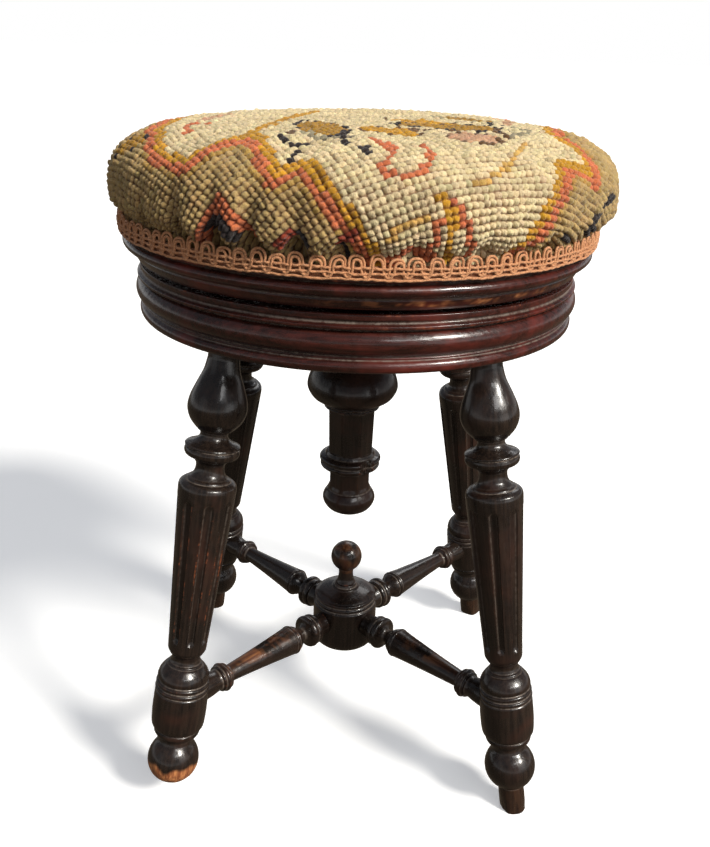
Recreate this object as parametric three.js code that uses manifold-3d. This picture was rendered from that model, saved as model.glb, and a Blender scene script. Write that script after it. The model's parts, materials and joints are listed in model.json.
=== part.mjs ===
// Revolving piano stool: a round upholstered seat on an iron screw, over a turned four-legged frame.
// Millimetres, +Z up. The origin is on the floor, under the axis of the screw.
import * as THREE from 'three';
import { mergeVertices } from 'three/addons/utils/BufferGeometryUtils.js';
import Module from 'manifold-3d';

const { Manifold, Mesh } = await startManifold();
const { degToRad } = THREE.MathUtils;

const CLEARANCE = 0.3; // left between pieces that are glued, screwed or pressed together
const RING_SIDES = 30; // on every wide ring and disc, so that their flats line up

// Heights of the layers of the seat and the frame.
const FRAME_UNDERSIDE = 360;
const FRAME_BOARD_TOP = 388.7;
const FRAME_TOP = 396.4;
const SEAT_UNDERSIDE = 401.5;
const SEAT_LEDGE = 405.3;
const SEAT_TOP = 420;
const BRAID_TOP = 434.6;
const WIDEST_CUSHION = 446.8;
const CUSHION_TOP = 496.9;

// The seat.
const CUSHION_RADIUS = 178.5;
const COVER_FOOT_RADIUS = 168;
const COVER_THICKNESS = 3;
const BRAID_RADIUS = 171.2;
const RIM_INNER_RADIUS = 134;
const SEAT_BOARD_RADIUS = 140;

// The frame under it.
const FRAME_BOARD_RADIUS = 104;

// The screw: a right-hand thread, so that turning the seat anticlockwise raises it.
const THREAD_PITCH = 12;
const THREAD_SIDES = 16;
const THREAD_RADIUS = 11;
const THREAD_ROOT_RADIUS = 9.4;
const THREAD_CLEARANCE = 0.35;
const THREAD_BOTTOM = 258;
const THREAD_TOP = 393;
const SPIGOT_RADIUS = 8;
const SPIGOT_TOP = 405.2;
const SCREW_TAIL_RADIUS = 5;
const SCREW_TAIL_BOTTOM = 245.5;
const WASHER_BOTTOM = 252.2;
const WASHER_THICKNESS = 3;
const WASHER_RADIUS = 12.1;

// The iron nut in the frame.
const NUT_BOTTOM = 363.5;
const NUT_BOSS_RADIUS = 17.5;
const NUT_FLANGE_RADIUS = 40;
const NUT_FLANGE_TOP = 393;
const NUT_SCREW_CIRCLE = 32;

// The iron cross plate on the seat.
const PLATE_BOTTOM = 401.2;
const PLATE_THICKNESS = 3.8;
const PLATE_ARM_LENGTH = 104;
const PLATE_ARM_WIDTH = 24;
const PLATE_BOSS_RADIUS = 19;
const PLATE_BOSS_BOTTOM = 393.4;
const PLATE_SCREW_CIRCLE = 90;
const SCREW_HOLE_RADIUS = 2.3;

// The pendant that the screw hangs down into, in two pieces that meet at its widest.
const HOUSING_JOINT = 297;
const HOUSING_RADIUS = 35.5;
const HOUSING_TENON_RADIUS = 24;
const HOUSING_BORE_RADIUS = 12.8;
const HOUSING_BORE_BOTTOM = 237;

// The legs lean out on the diagonals of the frame. A leg's own heights run along its axis from the floor.
const LEG_SPLAY = degToRad(10.33);
const LEG_FLOOR_RADIUS = 189;
const LEG_SIDES = 24;
const LEG_TENON_RADIUS = 10.9;
const LEG_TENON_END = 386;
const FLUTES = 8;
const FLUTE_HALF_ANGLE = degToRad(10.5);
const FLUTE_DEPTH = 2.3;
const FLUTE_BOTTOM = 137;
const FLUTE_TOP = 251;
const FLUTE_TURN = degToRad(13);

// The rails that cross between the legs. A rail's own heights run along its axis from the middle of the hub.
const HUB_RADIUS = 27.2;
const HUB_RAIL_HEIGHT = 85;
const LEG_RAIL_HEIGHT = 86;
const RAIL_SIDES = 12;
const RAIL_START = 18;
const RAIL_END = 162;
const RAIL_HUB_TENON_RADIUS = 7;
const RAIL_LEG_TENON_RADIUS = 9.8;
const FINIAL_PEG_RADIUS = 5;

// The four legs, as the angle of each from +X, the way its flutes are turned, and whether it has its toe.
// The front left toe has broken off at the ball.
const LEGS = [
  { name: 'front_left', angle: degToRad(-135), fluteTurn: FLUTE_TURN, hasToe: false },
  { name: 'front_right', angle: degToRad(-45), fluteTurn: -FLUTE_TURN, hasToe: true },
  { name: 'back_left', angle: degToRad(135), fluteTurn: -FLUTE_TURN, hasToe: true },
  { name: 'back_right', angle: degToRad(45), fluteTurn: FLUTE_TURN, hasToe: true },
];

async function startManifold() {
  const wasm = await Module();
  wasm.setup();
  return wasm;
}

// Merges the seams of a three.js geometry and drops the triangles that have no area.
function closed(geometry) {
  geometry.deleteAttribute('normal');
  geometry.deleteAttribute('uv');
  const merged = mergeVertices(geometry, 1e-3);
  const corners = merged.index.array;
  const kept = [];
  for (let i = 0; i < corners.length; i += 3) {
    const [a, b, c] = corners.slice(i, i + 3);
    if (a !== b && b !== c && c !== a) kept.push(a, b, c);
  }
  merged.setIndex(kept);
  return merged;
}

// A solid turned about +Z. The outline is [radius, height] points, anticlockwise: from the axis at the bottom to
// the axis at the top, or round a loop that never meets the axis.
function turned(outline, sides) {
  const points = outline.map(([radius, height]) => new THREE.Vector2(radius, height));
  if (outline[0][0] > 0) points.push(points[0].clone());
  return closed(new THREE.LatheGeometry(points, sides).rotateX(Math.PI / 2));
}

// Moves every point of a turned solid to the radius and angle that place() gives for it.
function reshape(geometry, place) {
  const { position } = geometry.attributes;
  for (let i = 0; i < position.count; i += 1) {
    const [x, y, height] = [position.getX(i), position.getY(i), position.getZ(i)];
    const [radius, angle] = place(Math.hypot(x, y), Math.atan2(y, x), height);
    position.setXY(i, radius * Math.cos(angle), radius * Math.sin(angle));
  }
  return geometry;
}

function cylinder(radius, bottom, top, sides) {
  return turned([[0, bottom], [radius, bottom], [radius, top], [0, top]], sides);
}

function box(width, depth, height, z) {
  return closed(new THREE.BoxGeometry(width, depth, height).translate(0, 0, z));
}

// Points along part of an ellipse in an outline, from one angle to another in degrees.
function arc(centreRadius, centreHeight, reach, rise, from, to, steps) {
  return Array.from({ length: steps + 1 }, (_, i) => {
    const angle = degToRad(from + ((to - from) * i) / steps);
    return [centreRadius + reach * Math.cos(angle), centreHeight + rise * Math.sin(angle)];
  });
}

function toManifold(geometry) {
  return new Manifold(new Mesh({
    numProp: 3,
    vertProperties: Float32Array.from(geometry.attributes.position.array),
    triVerts: Uint32Array.from(geometry.index.array),
  }));
}

function fromManifold(solid) {
  const { vertProperties, triVerts } = solid.getMesh();
  const geometry = new THREE.BufferGeometry();
  geometry.setAttribute('position', new THREE.BufferAttribute(vertProperties, 3));
  geometry.setIndex(new THREE.BufferAttribute(triVerts, 1));
  return geometry;
}

function cut(geometry, ...tools) {
  return fromManifold(tools.reduce((solid, tool) => solid.subtract(toManifold(tool)), toManifold(geometry)));
}

function join(first, ...others) {
  return fromManifold(others.reduce((solid, other) => solid.add(toManifold(other)), toManifold(first)));
}

function keepInside(geometry, envelope) {
  return fromManifold(toManifold(geometry).intersect(toManifold(envelope)));
}

// A copy of a tool at each [x, y] place.
function atPlaces(places, tool) {
  return places.map(([x, y]) => tool.clone().translate(x, y, 0));
}

// [x, y] places on a circle, at angles in degrees from +X.
function placesOnCircle(radius, degrees) {
  return degrees.map((angle) => [radius * Math.cos(degToRad(angle)), radius * Math.sin(degToRad(angle))]);
}

const NUT_SCREW_PLACES = placesOnCircle(NUT_SCREW_CIRCLE, [-90, 150, 30]); // front, left, right
const PLATE_SCREW_PLACES = placesOnCircle(PLATE_SCREW_CIRCLE, [-90, 0, 90, 180]); // front, right, back, left

// A threaded rod about +Z, pointed at both ends. Each turn is a root, a flank, a crest and a flank, and clearance
// widens all of them, for cutting a nut.
function thread(bottom, turns, clearance) {
  const flank = 1;
  const crest = THREAD_PITCH / 2 - flank;
  const rows = [
    [THREAD_ROOT_RADIUS + clearance, crest + flank + clearance - THREAD_PITCH],
    [THREAD_ROOT_RADIUS + clearance, -flank - clearance],
    [THREAD_RADIUS + clearance, -clearance],
    [THREAD_RADIUS + clearance, crest + clearance],
  ];
  const columns = turns * THREAD_SIDES;
  const points = [];
  const starts = [];
  for (let n = 0; n <= columns + THREAD_SIDES; n += 1) {
    const angle = (n * 2 * Math.PI) / THREAD_SIDES;
    starts.push(points.length);
    for (const [radius, offset] of n <= columns ? rows : rows.slice(0, 1)) {
      const height = bottom + (THREAD_PITCH * n) / THREAD_SIDES + offset;
      points.push([radius * Math.cos(angle), radius * Math.sin(angle), height]);
    }
  }
  const corner = (n, row) => (row < rows.length ? starts[n] + row : starts[n + THREAD_SIDES]);
  const index = [];
  for (let n = 0; n < columns; n += 1) {
    for (let row = 0; row < rows.length; row += 1) {
      index.push(corner(n, row), corner(n + 1, row), corner(n + 1, row + 1));
      index.push(corner(n, row), corner(n + 1, row + 1), corner(n, row + 1));
    }
  }
  const edge = (start) => [
    ...Array.from({ length: THREAD_SIDES + 1 }, (_, k) => corner(start + k, 0)),
    ...[3, 2, 1].map((row) => corner(start, row)),
  ];
  const foot = points.push([0, 0, bottom - THREAD_PITCH]) - 1;
  const head = points.push([0, 0, bottom + THREAD_PITCH * (turns + 1)]) - 1;
  const lowEdge = edge(0);
  const highEdge = edge(columns);
  for (let k = 0; k < lowEdge.length; k += 1) {
    const next = (k + 1) % lowEdge.length;
    index.push(foot, lowEdge[next], lowEdge[k]);
    index.push(head, highEdge[k], highEdge[next]);
  }
  const geometry = new THREE.BufferGeometry();
  geometry.setAttribute('position', new THREE.Float32BufferAttribute(points.flat(), 3));
  geometry.setIndex(index);
  return geometry;
}

// The rod and the tap that cuts its nut start at one height, so that they are in mesh.
function threadOverScrew(clearance) {
  const turns = Math.ceil((THREAD_TOP - THREAD_BOTTOM) / THREAD_PITCH) + 2;
  return thread(THREAD_BOTTOM - THREAD_PITCH, turns, clearance);
}

function seatScrew() {
  const envelope = cylinder(THREAD_RADIUS + 2, THREAD_BOTTOM, THREAD_TOP, THREAD_SIDES);
  const core = turned([
    [0, SCREW_TAIL_BOTTOM],
    [SCREW_TAIL_RADIUS, SCREW_TAIL_BOTTOM],
    [SCREW_TAIL_RADIUS, THREAD_BOTTOM + 2],
    [SPIGOT_RADIUS, THREAD_BOTTOM + 4],
    [SPIGOT_RADIUS, SPIGOT_TOP],
    [0, SPIGOT_TOP],
  ], THREAD_SIDES);
  return join(keepInside(threadOverScrew(0), envelope), core);
}

function screwEndNut() {
  const top = WASHER_BOTTOM - CLEARANCE;
  const hexagon = turned([[0, top - 5.6], [8.6, top - 5.6], [9.4, top - 5], [9.4, top], [0, top]], 6);
  return cut(hexagon, cylinder(SCREW_TAIL_RADIUS + CLEARANCE, top - 10, top + 5, THREAD_SIDES));
}

function stopWasher() {
  const top = WASHER_BOTTOM + WASHER_THICKNESS;
  const inner = SCREW_TAIL_RADIUS + CLEARANCE;
  return turned([
    [inner, WASHER_BOTTOM],
    [WASHER_RADIUS, WASHER_BOTTOM],
    [WASHER_RADIUS, top],
    [inner, top],
  ], THREAD_SIDES);
}

function nutPlate() {
  const flangeBottom = FRAME_BOARD_TOP + CLEARANCE;
  const blank = turned([
    [0, NUT_BOTTOM],
    [NUT_BOSS_RADIUS, NUT_BOTTOM],
    [NUT_BOSS_RADIUS, flangeBottom],
    [NUT_FLANGE_RADIUS, flangeBottom],
    [NUT_FLANGE_RADIUS, NUT_FLANGE_TOP - 1],
    [NUT_FLANGE_RADIUS - 1, NUT_FLANGE_TOP],
    [0, NUT_FLANGE_TOP],
  ], LEG_SIDES);
  const hole = cylinder(SCREW_HOLE_RADIUS, NUT_BOTTOM, NUT_FLANGE_TOP + 5, 8);
  return cut(blank, threadOverScrew(THREAD_CLEARANCE), ...atPlaces(NUT_SCREW_PLACES, hole));
}

// A round-headed wood screw that points down, with the underside of its head at height 0.
function woodScrew(length) {
  const outline = [[0, -length], [1.9, 5 - length], [1.9, 0], [3.9, 0], [2.8, 2], [0, 2.4]];
  return turned(outline, 8);
}

function seatPlate() {
  const middle = PLATE_BOTTOM + PLATE_THICKNESS / 2;
  const alongX = box(2 * PLATE_ARM_LENGTH, PLATE_ARM_WIDTH, PLATE_THICKNESS, middle);
  const alongY = box(PLATE_ARM_WIDTH, 2 * PLATE_ARM_LENGTH, PLATE_THICKNESS, middle);
  const boss = turned([
    [0, PLATE_BOSS_BOTTOM],
    [PLATE_BOSS_RADIUS, PLATE_BOSS_BOTTOM],
    [PLATE_BOSS_RADIUS + 3, middle],
    [0, middle],
  ], 16);
  const bore = cylinder(SPIGOT_RADIUS + CLEARANCE, PLATE_BOSS_BOTTOM - 2, SPIGOT_TOP + 2, THREAD_SIDES);
  const hole = cylinder(SCREW_HOLE_RADIUS, PLATE_BOSS_BOTTOM, SPIGOT_TOP + 5, 8);
  return cut(join(alongX, alongY, boss), bore, ...atPlaces(PLATE_SCREW_PLACES, hole));
}

function seatBoard() {
  const radius = SEAT_BOARD_RADIUS - CLEARANCE;
  const disc = cylinder(radius, SEAT_LEDGE + CLEARANCE, SEAT_TOP, RING_SIDES);
  const pilot = cylinder(SCREW_HOLE_RADIUS, SEAT_LEDGE - 5, SEAT_TOP - 2, 8);
  return cut(disc, ...atPlaces(PLATE_SCREW_PLACES, pilot));
}

function seatRim() {
  return turned([
    [RIM_INNER_RADIUS, SEAT_UNDERSIDE],
    [158.8, SEAT_UNDERSIDE],
    [161.8, 406.6],
    [161.2, 408],
    ...arc(161.2, 413.6, 8, 4.6, -60, 55, 3),
    [167.6, 418.2],
    [167.6, SEAT_TOP],
    [SEAT_BOARD_RADIUS, SEAT_TOP],
    [SEAT_BOARD_RADIUS, SEAT_LEDGE],
    [RIM_INNER_RADIUS, SEAT_LEDGE],
  ], RING_SIDES);
}

// The side and the crowned top of the pad, drawn in by inset: from the foot up to the axis.
function cushionOutline(inset, foot, steps) {
  const radius = CUSHION_RADIUS - inset;
  const rise = CUSHION_TOP - WIDEST_CUSHION - inset;
  const crown = Array.from({ length: steps + 1 }, (_, i) => {
    const angle = (Math.PI / 2) * Math.sin((Math.PI / 2) * (i / steps)) ** 1.25;
    const reach = i === steps ? 0 : radius * Math.cos(angle) ** 0.46;
    return [reach, WIDEST_CUSHION + rise * Math.sin(angle) ** 0.625];
  });
  return [
    [COVER_FOOT_RADIUS - inset, foot],
    [COVER_FOOT_RADIUS - inset, BRAID_TOP + CLEARANCE + inset],
    [COVER_FOOT_RADIUS + 7 - inset, BRAID_TOP + 3 + inset],
    ...crown,
  ];
}

function needlepointCover() {
  const foot = SEAT_TOP + CLEARANCE;
  const outside = turned([[0, foot], ...cushionOutline(0, foot, 6)], RING_SIDES);
  const inside = turned([[0, foot - 5], ...cushionOutline(COVER_THICKNESS, foot - 5, 6)], RING_SIDES);
  return cut(outside, inside);
}

function stuffingPad() {
  const foot = SEAT_TOP + CLEARANCE;
  return turned([[0, foot], ...cushionOutline(COVER_THICKNESS + CLEARANCE, foot, 6)], RING_SIDES);
}

function gimpBraid() {
  const foot = SEAT_TOP + CLEARANCE;
  const inner = COVER_FOOT_RADIUS + CLEARANCE;
  return turned([
    [inner, foot],
    [BRAID_RADIUS - 0.8, foot],
    [BRAID_RADIUS, foot + 8],
    [BRAID_RADIUS - 1, BRAID_TOP],
    [inner, BRAID_TOP],
  ], RING_SIDES);
}

function frameRing() {
  const ring = turned([
    [FRAME_BOARD_RADIUS, FRAME_UNDERSIDE],
    [157.2, FRAME_UNDERSIDE],
    ...arc(156.4, 364.2, 2.9, 4.2, -60, 60, 2),
    [156.6, 369.4],
    ...arc(151.4, 379.2, 10, 9, -58, 58, 4),
    [160.3, 388.4],
    [160.3, 390.2],
    [157, 392],
    [158.2, 393.8],
    [158.2, FRAME_TOP],
    [FRAME_BOARD_RADIUS, FRAME_TOP],
  ], RING_SIDES);
  const socket = cylinder(LEG_TENON_RADIUS + CLEARANCE, FRAME_UNDERSIDE - 20, LEG_TENON_END + CLEARANCE, 16);
  return cut(ring, ...LEGS.map((leg) => placeOnLeg(socket.clone(), leg)));
}

function frameBoard() {
  const disc = cylinder(FRAME_BOARD_RADIUS - CLEARANCE, FRAME_UNDERSIDE, FRAME_BOARD_TOP, RING_SIDES);
  const holeRadius = HOUSING_TENON_RADIUS + CLEARANCE;
  const tenonHole = cylinder(holeRadius, FRAME_UNDERSIDE - 5, FRAME_BOARD_TOP + 5, LEG_SIDES);
  const pilot = cylinder(SCREW_HOLE_RADIUS, FRAME_UNDERSIDE + 10, FRAME_BOARD_TOP + 5, 8);
  return cut(disc, tenonHole.rotateZ(Math.PI / FLUTES), ...atPlaces(NUT_SCREW_PLACES, pilot));
}

// The radius of an eight-sided shaft at an angle, where cornerRadius is its radius at the corners.
function eightSided(cornerRadius, angle) {
  const eighth = Math.PI / 4;
  const fromCorner = ((angle % eighth) + eighth) % eighth;
  return (cornerRadius * Math.cos(eighth / 2)) / Math.cos(fromCorner - eighth / 2);
}

function screwHousing() {
  const waists = [[208, 224], [240, 278]];
  const outline = [
    [0, 185.5],
    ...arc(0, 199, 21.3, 13.5, -60, 25, 4),
    [17.2, 208.2],
    [17.2, 223.6],
    [24.5, 231],
    [24.5, 234],
    [18.4, 240.8],
    [19.5, 277.5],
    [21.8, 278.8],
    [21.8, 282],
    ...arc(0, HOUSING_JOINT, HOUSING_RADIUS, 18.6, -42, 0, 2),
    [HOUSING_BORE_RADIUS, HOUSING_JOINT],
    [HOUSING_BORE_RADIUS, HOUSING_BORE_BOTTOM],
    [0, HOUSING_BORE_BOTTOM],
  ];
  const isWaist = (radius, height) => (
    radius > HOUSING_BORE_RADIUS + 1 && waists.some(([low, high]) => height > low && height < high)
  );
  const housing = reshape(turned(outline, LEG_SIDES), (radius, angle, height) => (
    [isWaist(radius, height) && radius < 20 ? eightSided(radius, angle) : radius, angle]
  ));
  return housing.rotateZ(Math.PI / FLUTES);
}

// The top of the pendant: from its widest up to the tenon in the frame board, which takes the nut's boss.
function housingCollar() {
  return turned([
    [HOUSING_BORE_RADIUS, HOUSING_JOINT + CLEARANCE],
    [HOUSING_RADIUS, HOUSING_JOINT + CLEARANCE],
    [33, 308],
    [24.4, 325],
    [22.8, 336],
    [27, 347],
    [34.5, 352.4],
    [34.5, 358],
    [33, FRAME_UNDERSIDE - CLEARANCE],
    [HOUSING_TENON_RADIUS, FRAME_UNDERSIDE - CLEARANCE],
    [HOUSING_TENON_RADIUS, FRAME_BOARD_TOP],
    [NUT_BOSS_RADIUS + CLEARANCE, FRAME_BOARD_TOP],
    [NUT_BOSS_RADIUS + CLEARANCE, NUT_BOTTOM - CLEARANCE],
    [HOUSING_BORE_RADIUS, NUT_BOTTOM - CLEARANCE],
  ], LEG_SIDES).rotateZ(Math.PI / FLUTES);
}

// Moves a piece made upright over the origin to a leg's place, leaning in towards the top.
function placeOnLeg(geometry, leg) {
  return geometry.rotateY(-LEG_SPLAY).translate(LEG_FLOOR_RADIUS, 0, 0).rotateZ(leg.angle);
}

function legOutline(hasToe) {
  const toe = hasToe ? [[0, -4], [9.4, -4], [9.8, 21]] : [[0, 19.6], [7.6, 19.6]];
  return [
    ...toe,
    ...arc(0, 38.1, 19.2, 19.2, -54, 46, 4),
    [12.2, 58],
    [16.4, 61.5],
    [16.4, 65.5],
    [19.4, 67.5],
    [20.1, 80],
    [19.4, 98.4],
    [18, 102],
    [19.3, 105.6],
    [15.4, 117.6],
    [10.4, 123.4],
    [13.4, 129.6],
    [13.7, FLUTE_BOTTOM - 3],
    [13.9, FLUTE_BOTTOM + 2],
    [20.2, FLUTE_TOP - 3],
    [20.4, FLUTE_TOP + 3],
    [20.6, 261],
    [10, 272.6],
    [19.2, 284.6],
    [19.2, 288.6],
    [9.6, 296],
    [18.4, 308],
    [20.4, 316],
    [17.6, 328],
    [LEG_TENON_RADIUS, 346],
    [LEG_TENON_RADIUS, LEG_TENON_END],
    [0, LEG_TENON_END],
  ];
}

// Cuts the flutes in a leg: of a flute's three columns of points, the middle one moves in and the others close up.
function fluted(geometry) {
  const flute = (2 * Math.PI) / FLUTES;
  return reshape(geometry, (radius, angle, height) => {
    if (height < FLUTE_BOTTOM || height > FLUTE_TOP) return [radius, angle];
    const middle = Math.round(angle / flute) * flute;
    const side = Math.round((angle - middle) / (flute / 3));
    return [side === 0 ? radius - FLUTE_DEPTH : radius, middle + side * FLUTE_HALF_ANGLE];
  });
}

function turnedLeg(leg) {
  const upright = fluted(turned(legOutline(leg.hasToe), LEG_SIDES)).rotateZ(leg.fluteTurn);
  const socket = cylinder(RAIL_LEG_TENON_RADIUS + CLEARANCE, RAIL_END - 40, RAIL_END + CLEARANCE, RAIL_SIDES);
  const ground = box(2 * CUSHION_RADIUS, 2 * CUSHION_RADIUS, 50, -25);
  return cut(placeOnLeg(upright, leg), placeOnRail(socket, leg), ground);
}

// Moves a piece made upright over the origin to lie along a leg's rail, from the hub outwards.
function placeOnRail(geometry, leg) {
  const legReach = LEG_FLOOR_RADIUS - LEG_RAIL_HEIGHT * Math.tan(LEG_SPLAY);
  const slope = Math.atan2(LEG_RAIL_HEIGHT - HUB_RAIL_HEIGHT, legReach);
  return geometry.rotateY(Math.PI / 2 - slope).translate(0, 0, HUB_RAIL_HEIGHT).rotateZ(leg.angle);
}

function stretcher(leg) {
  const rail = turned([
    [0, RAIL_START],
    [RAIL_HUB_TENON_RADIUS, RAIL_START],
    [RAIL_HUB_TENON_RADIUS, HUB_RADIUS + 1],
    [10.2, HUB_RADIUS + 3],
    [13, 39.5],
    [13, 45],
    [5.2, 51],
    [10.6, 58],
    [12.6, 63],
    [12, 67],
    [6.7, 129],
    [12, 132.5],
    [12, 137],
    [9.2, 139],
    [RAIL_LEG_TENON_RADIUS, 146],
    [RAIL_LEG_TENON_RADIUS, RAIL_END],
    [0, RAIL_END],
  ], RAIL_SIDES);
  return placeOnRail(rail, leg);
}

function stretcherHub() {
  const hub = turned([
    [0, 49],
    [6.4, 49.6],
    [9, 54],
    [20, 57.8],
    [25.6, 62],
    [HUB_RADIUS, 67],
    [HUB_RADIUS, 97.6],
    [25.2, 99.2],
    [25.9, 102],
    [25, 103.4],
    [25.9, 106],
    [22.5, 109.4],
    [10.4, 112.4],
    [8.6, 115.6],
    [0, 115.6],
  ], 20);
  const socket = cylinder(RAIL_HUB_TENON_RADIUS + CLEARANCE, RAIL_START - CLEARANCE, 40, RAIL_SIDES);
  const pegHole = cylinder(FINIAL_PEG_RADIUS + CLEARANCE, 103.6, 120, RAIL_SIDES);
  return cut(hub, pegHole, ...LEGS.map((leg) => placeOnRail(socket.clone(), leg)));
}

function hubFinial() {
  return turned([
    [0, 104],
    [FINIAL_PEG_RADIUS, 104],
    [FINIAL_PEG_RADIUS, 115.9],
    [8.2, 115.9],
    [6.3, 122],
    [6.2, 128],
    ...arc(0, 141, 13, 13, -58, 62, 5),
    [0, 154],
  ], RAIL_SIDES);
}

const stainedWood = { name: 'stained_wood', color: 0x2a1a14, roughness: 0.35, metalness: 0 };
const plainWood = { name: 'plain_wood', color: 0x8a6238, roughness: 0.75, metalness: 0 };
const castIron = { name: 'cast_iron', color: 0x2d2c2b, roughness: 0.65, metalness: 0.8 };
const screwSteel = { name: 'screw_steel', color: 0x77736c, roughness: 0.4, metalness: 1 };
const needlepoint = { name: 'needlepoint', color: 0xb9a878, roughness: 0.95, metalness: 0 };
const horsehair = { name: 'horsehair', color: 0x4c4036, roughness: 1, metalness: 0 };
const gimp = { name: 'gimp', color: 0xc98a5e, roughness: 0.85, metalness: 0 };

const group = new THREE.Group();

function addPiece(name, geometry, look) {
  const mesh = new THREE.Mesh(geometry, new THREE.MeshStandardMaterial(look));
  mesh.name = name;
  group.add(mesh);
}

addPiece('needlepoint_cover', needlepointCover(), needlepoint);
addPiece('stuffing_pad', stuffingPad(), horsehair);
addPiece('gimp_braid', gimpBraid(), gimp);
addPiece('seat_rim', seatRim(), stainedWood);
addPiece('seat_board', seatBoard(), plainWood);
addPiece('seat_plate', seatPlate(), castIron);
const plateScrew = woodScrew(14).rotateX(Math.PI).translate(0, 0, PLATE_BOTTOM - CLEARANCE);
const plateScrewSides = ['front', 'right', 'back', 'left'];
atPlaces(PLATE_SCREW_PLACES, plateScrew).forEach((screw, i) => {
  addPiece(`seat_plate_screw_${plateScrewSides[i]}`, screw, screwSteel);
});
addPiece('seat_screw', seatScrew(), screwSteel);
addPiece('screw_end_nut', screwEndNut(), screwSteel);
addPiece('stop_washer', stopWasher(), screwSteel);

addPiece('frame_ring', frameRing(), stainedWood);
addPiece('frame_board', frameBoard(), plainWood);
addPiece('housing_collar', housingCollar(), stainedWood);
addPiece('screw_housing', screwHousing(), stainedWood);
addPiece('nut_plate', nutPlate(), castIron);
const nutScrew = woodScrew(16).translate(0, 0, NUT_FLANGE_TOP + CLEARANCE);
const nutScrewSides = ['front', 'left', 'right'];
atPlaces(NUT_SCREW_PLACES, nutScrew).forEach((screw, i) => {
  addPiece(`nut_plate_screw_${nutScrewSides[i]}`, screw, screwSteel);
});
for (const leg of LEGS) {
  addPiece(`${leg.name}_leg`, turnedLeg(leg), stainedWood);
  addPiece(`${leg.name}_stretcher`, stretcher(leg), stainedWood);
}
addPiece('stretcher_hub', stretcherHub(), stainedWood);
addPiece('hub_finial', hubFinial(), stainedWood);

export default group;
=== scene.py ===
"""Looks of the revolving piano stool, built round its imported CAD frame.

A round needlepoint cushion with a gimp braid sits on a seat rim. The rim turns on an iron screw over a
turned and stained frame. Shapes are in millimetres until a mesh is made. +Z is up and the floor is at 0.
"""

import json
import math

import bpy
import numpy as np
from mathutils import Matrix, Vector
from mathutils.bvhtree import BVHTree


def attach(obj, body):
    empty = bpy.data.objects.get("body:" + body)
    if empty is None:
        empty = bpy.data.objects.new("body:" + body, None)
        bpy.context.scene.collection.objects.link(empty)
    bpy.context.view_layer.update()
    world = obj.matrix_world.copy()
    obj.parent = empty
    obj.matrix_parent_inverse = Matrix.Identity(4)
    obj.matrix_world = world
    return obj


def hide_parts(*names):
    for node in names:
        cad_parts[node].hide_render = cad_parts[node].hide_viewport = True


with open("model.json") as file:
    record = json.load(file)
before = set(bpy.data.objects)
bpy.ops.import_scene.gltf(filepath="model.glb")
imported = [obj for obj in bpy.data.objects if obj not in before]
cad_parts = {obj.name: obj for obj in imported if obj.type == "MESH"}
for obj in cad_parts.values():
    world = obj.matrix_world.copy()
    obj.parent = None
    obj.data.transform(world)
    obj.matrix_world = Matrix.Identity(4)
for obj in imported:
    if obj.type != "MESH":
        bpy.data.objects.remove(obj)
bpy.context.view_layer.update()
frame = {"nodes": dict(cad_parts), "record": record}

MM = 0.001

# Heights of the frame and the seat, and radii of the cushion.
FRAME_UNDERSIDE = 360
FRAME_BOARD_TOP = 388.7
FRAME_TOP = 397
SEAT_UNDERSIDE = 400.2
SEAT_TOP = 420
CUSHION_FOOT = 420.3
BRAID_TOP = 434.6
WIDEST_CUSHION = 446.8
CUSHION_TOP = 496.9
CUSHION_RADIUS = 178.5
COVER_FOOT_RADIUS = 168
SIDE_START = 1200  # the row of cushion_side at which the crowned top ends and the drawn-in side begins

# The legs lean out on the diagonals. A leg's own heights run along its axis from the floor.
LEG_SPLAY = math.radians(10.33)
LEG_FLOOR_RADIUS = 189
HUB_RAIL_HEIGHT = 85
LEG_RAIL_HEIGHT = 86
FLUTES = 8
FLUTE_HALF_ANGLE = math.radians(10.5)
FLUTE_DEPTH = 2.3
FLUTE_BOTTOM = 139
FLUTE_TOP = 251
FLUTE_END = 5
FLUTE_TURN = math.radians(13)

# The broken chip in the ridge of the screw housing: where it is and half its width.
CHIP_ANGLE = math.radians(282.5)
CHIP_HALF_ANGLE = math.radians(15)

# The screw: a right-hand thread.
THREAD_PITCH = 12
THREAD_RADIUS = 11
THREAD_ROOT_RADIUS = 9.4
THREAD_START = 246
THREAD_BOTTOM = 258
THREAD_TOP = 393

# The needlepoint. Places on the canvas are in stitches from its middle: u along its rows, w across them.
STITCH = 4.4
CANVAS_TURN = math.radians(27)
STITCH_RISE = 2.4
CUSHION_LEAN = 1.3
SLUMP = 2.2
SAMPLES = 6

# The pad under the cover. It starts smaller, is pumped up, and the cover takes a share of its swelling.
PAD_INSET = 4
PAD_SWELL = 9
PAD_PRESSURE = 8
PAD_FRAMES = 20
PAD_VOXEL = 5
PAD_SHARE = 0.5
PAD_MOST_IN = 4
PAD_MOST_OUT = 1.2
DENT = 2.4
DENT_WIDTH = 2.7
DENT_TOP = 466
RAY_START = 20

# The braid: how many scrolls go round the seat, and its woven band.
SCROLLS = 93
BAND_CORDS = 5
BAND_RADIUS = 168.2
BAND_FOOT = 420.5
BAND_HEIGHT = 8


# ---- numbers

def unit(number):
    """The number held between 0 and 1."""
    return np.clip(number, 0, 1)


def bell(distance, width):
    """1 where the distance is 0, fading to nothing past about twice the width."""
    return np.exp(-((distance / width) ** 2))


def drift(u, v, seed):
    """A smooth wandering number from about -1 to 1 over two coordinates."""
    random = np.random.default_rng(seed)
    total = 0
    for _ in range(6):
        a, b = random.normal(0, 1, 2)
        total = total + np.sin(a * u + b * v + random.uniform(0, 2 * math.pi))
    return total / 3


# ---- outlines

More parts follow.
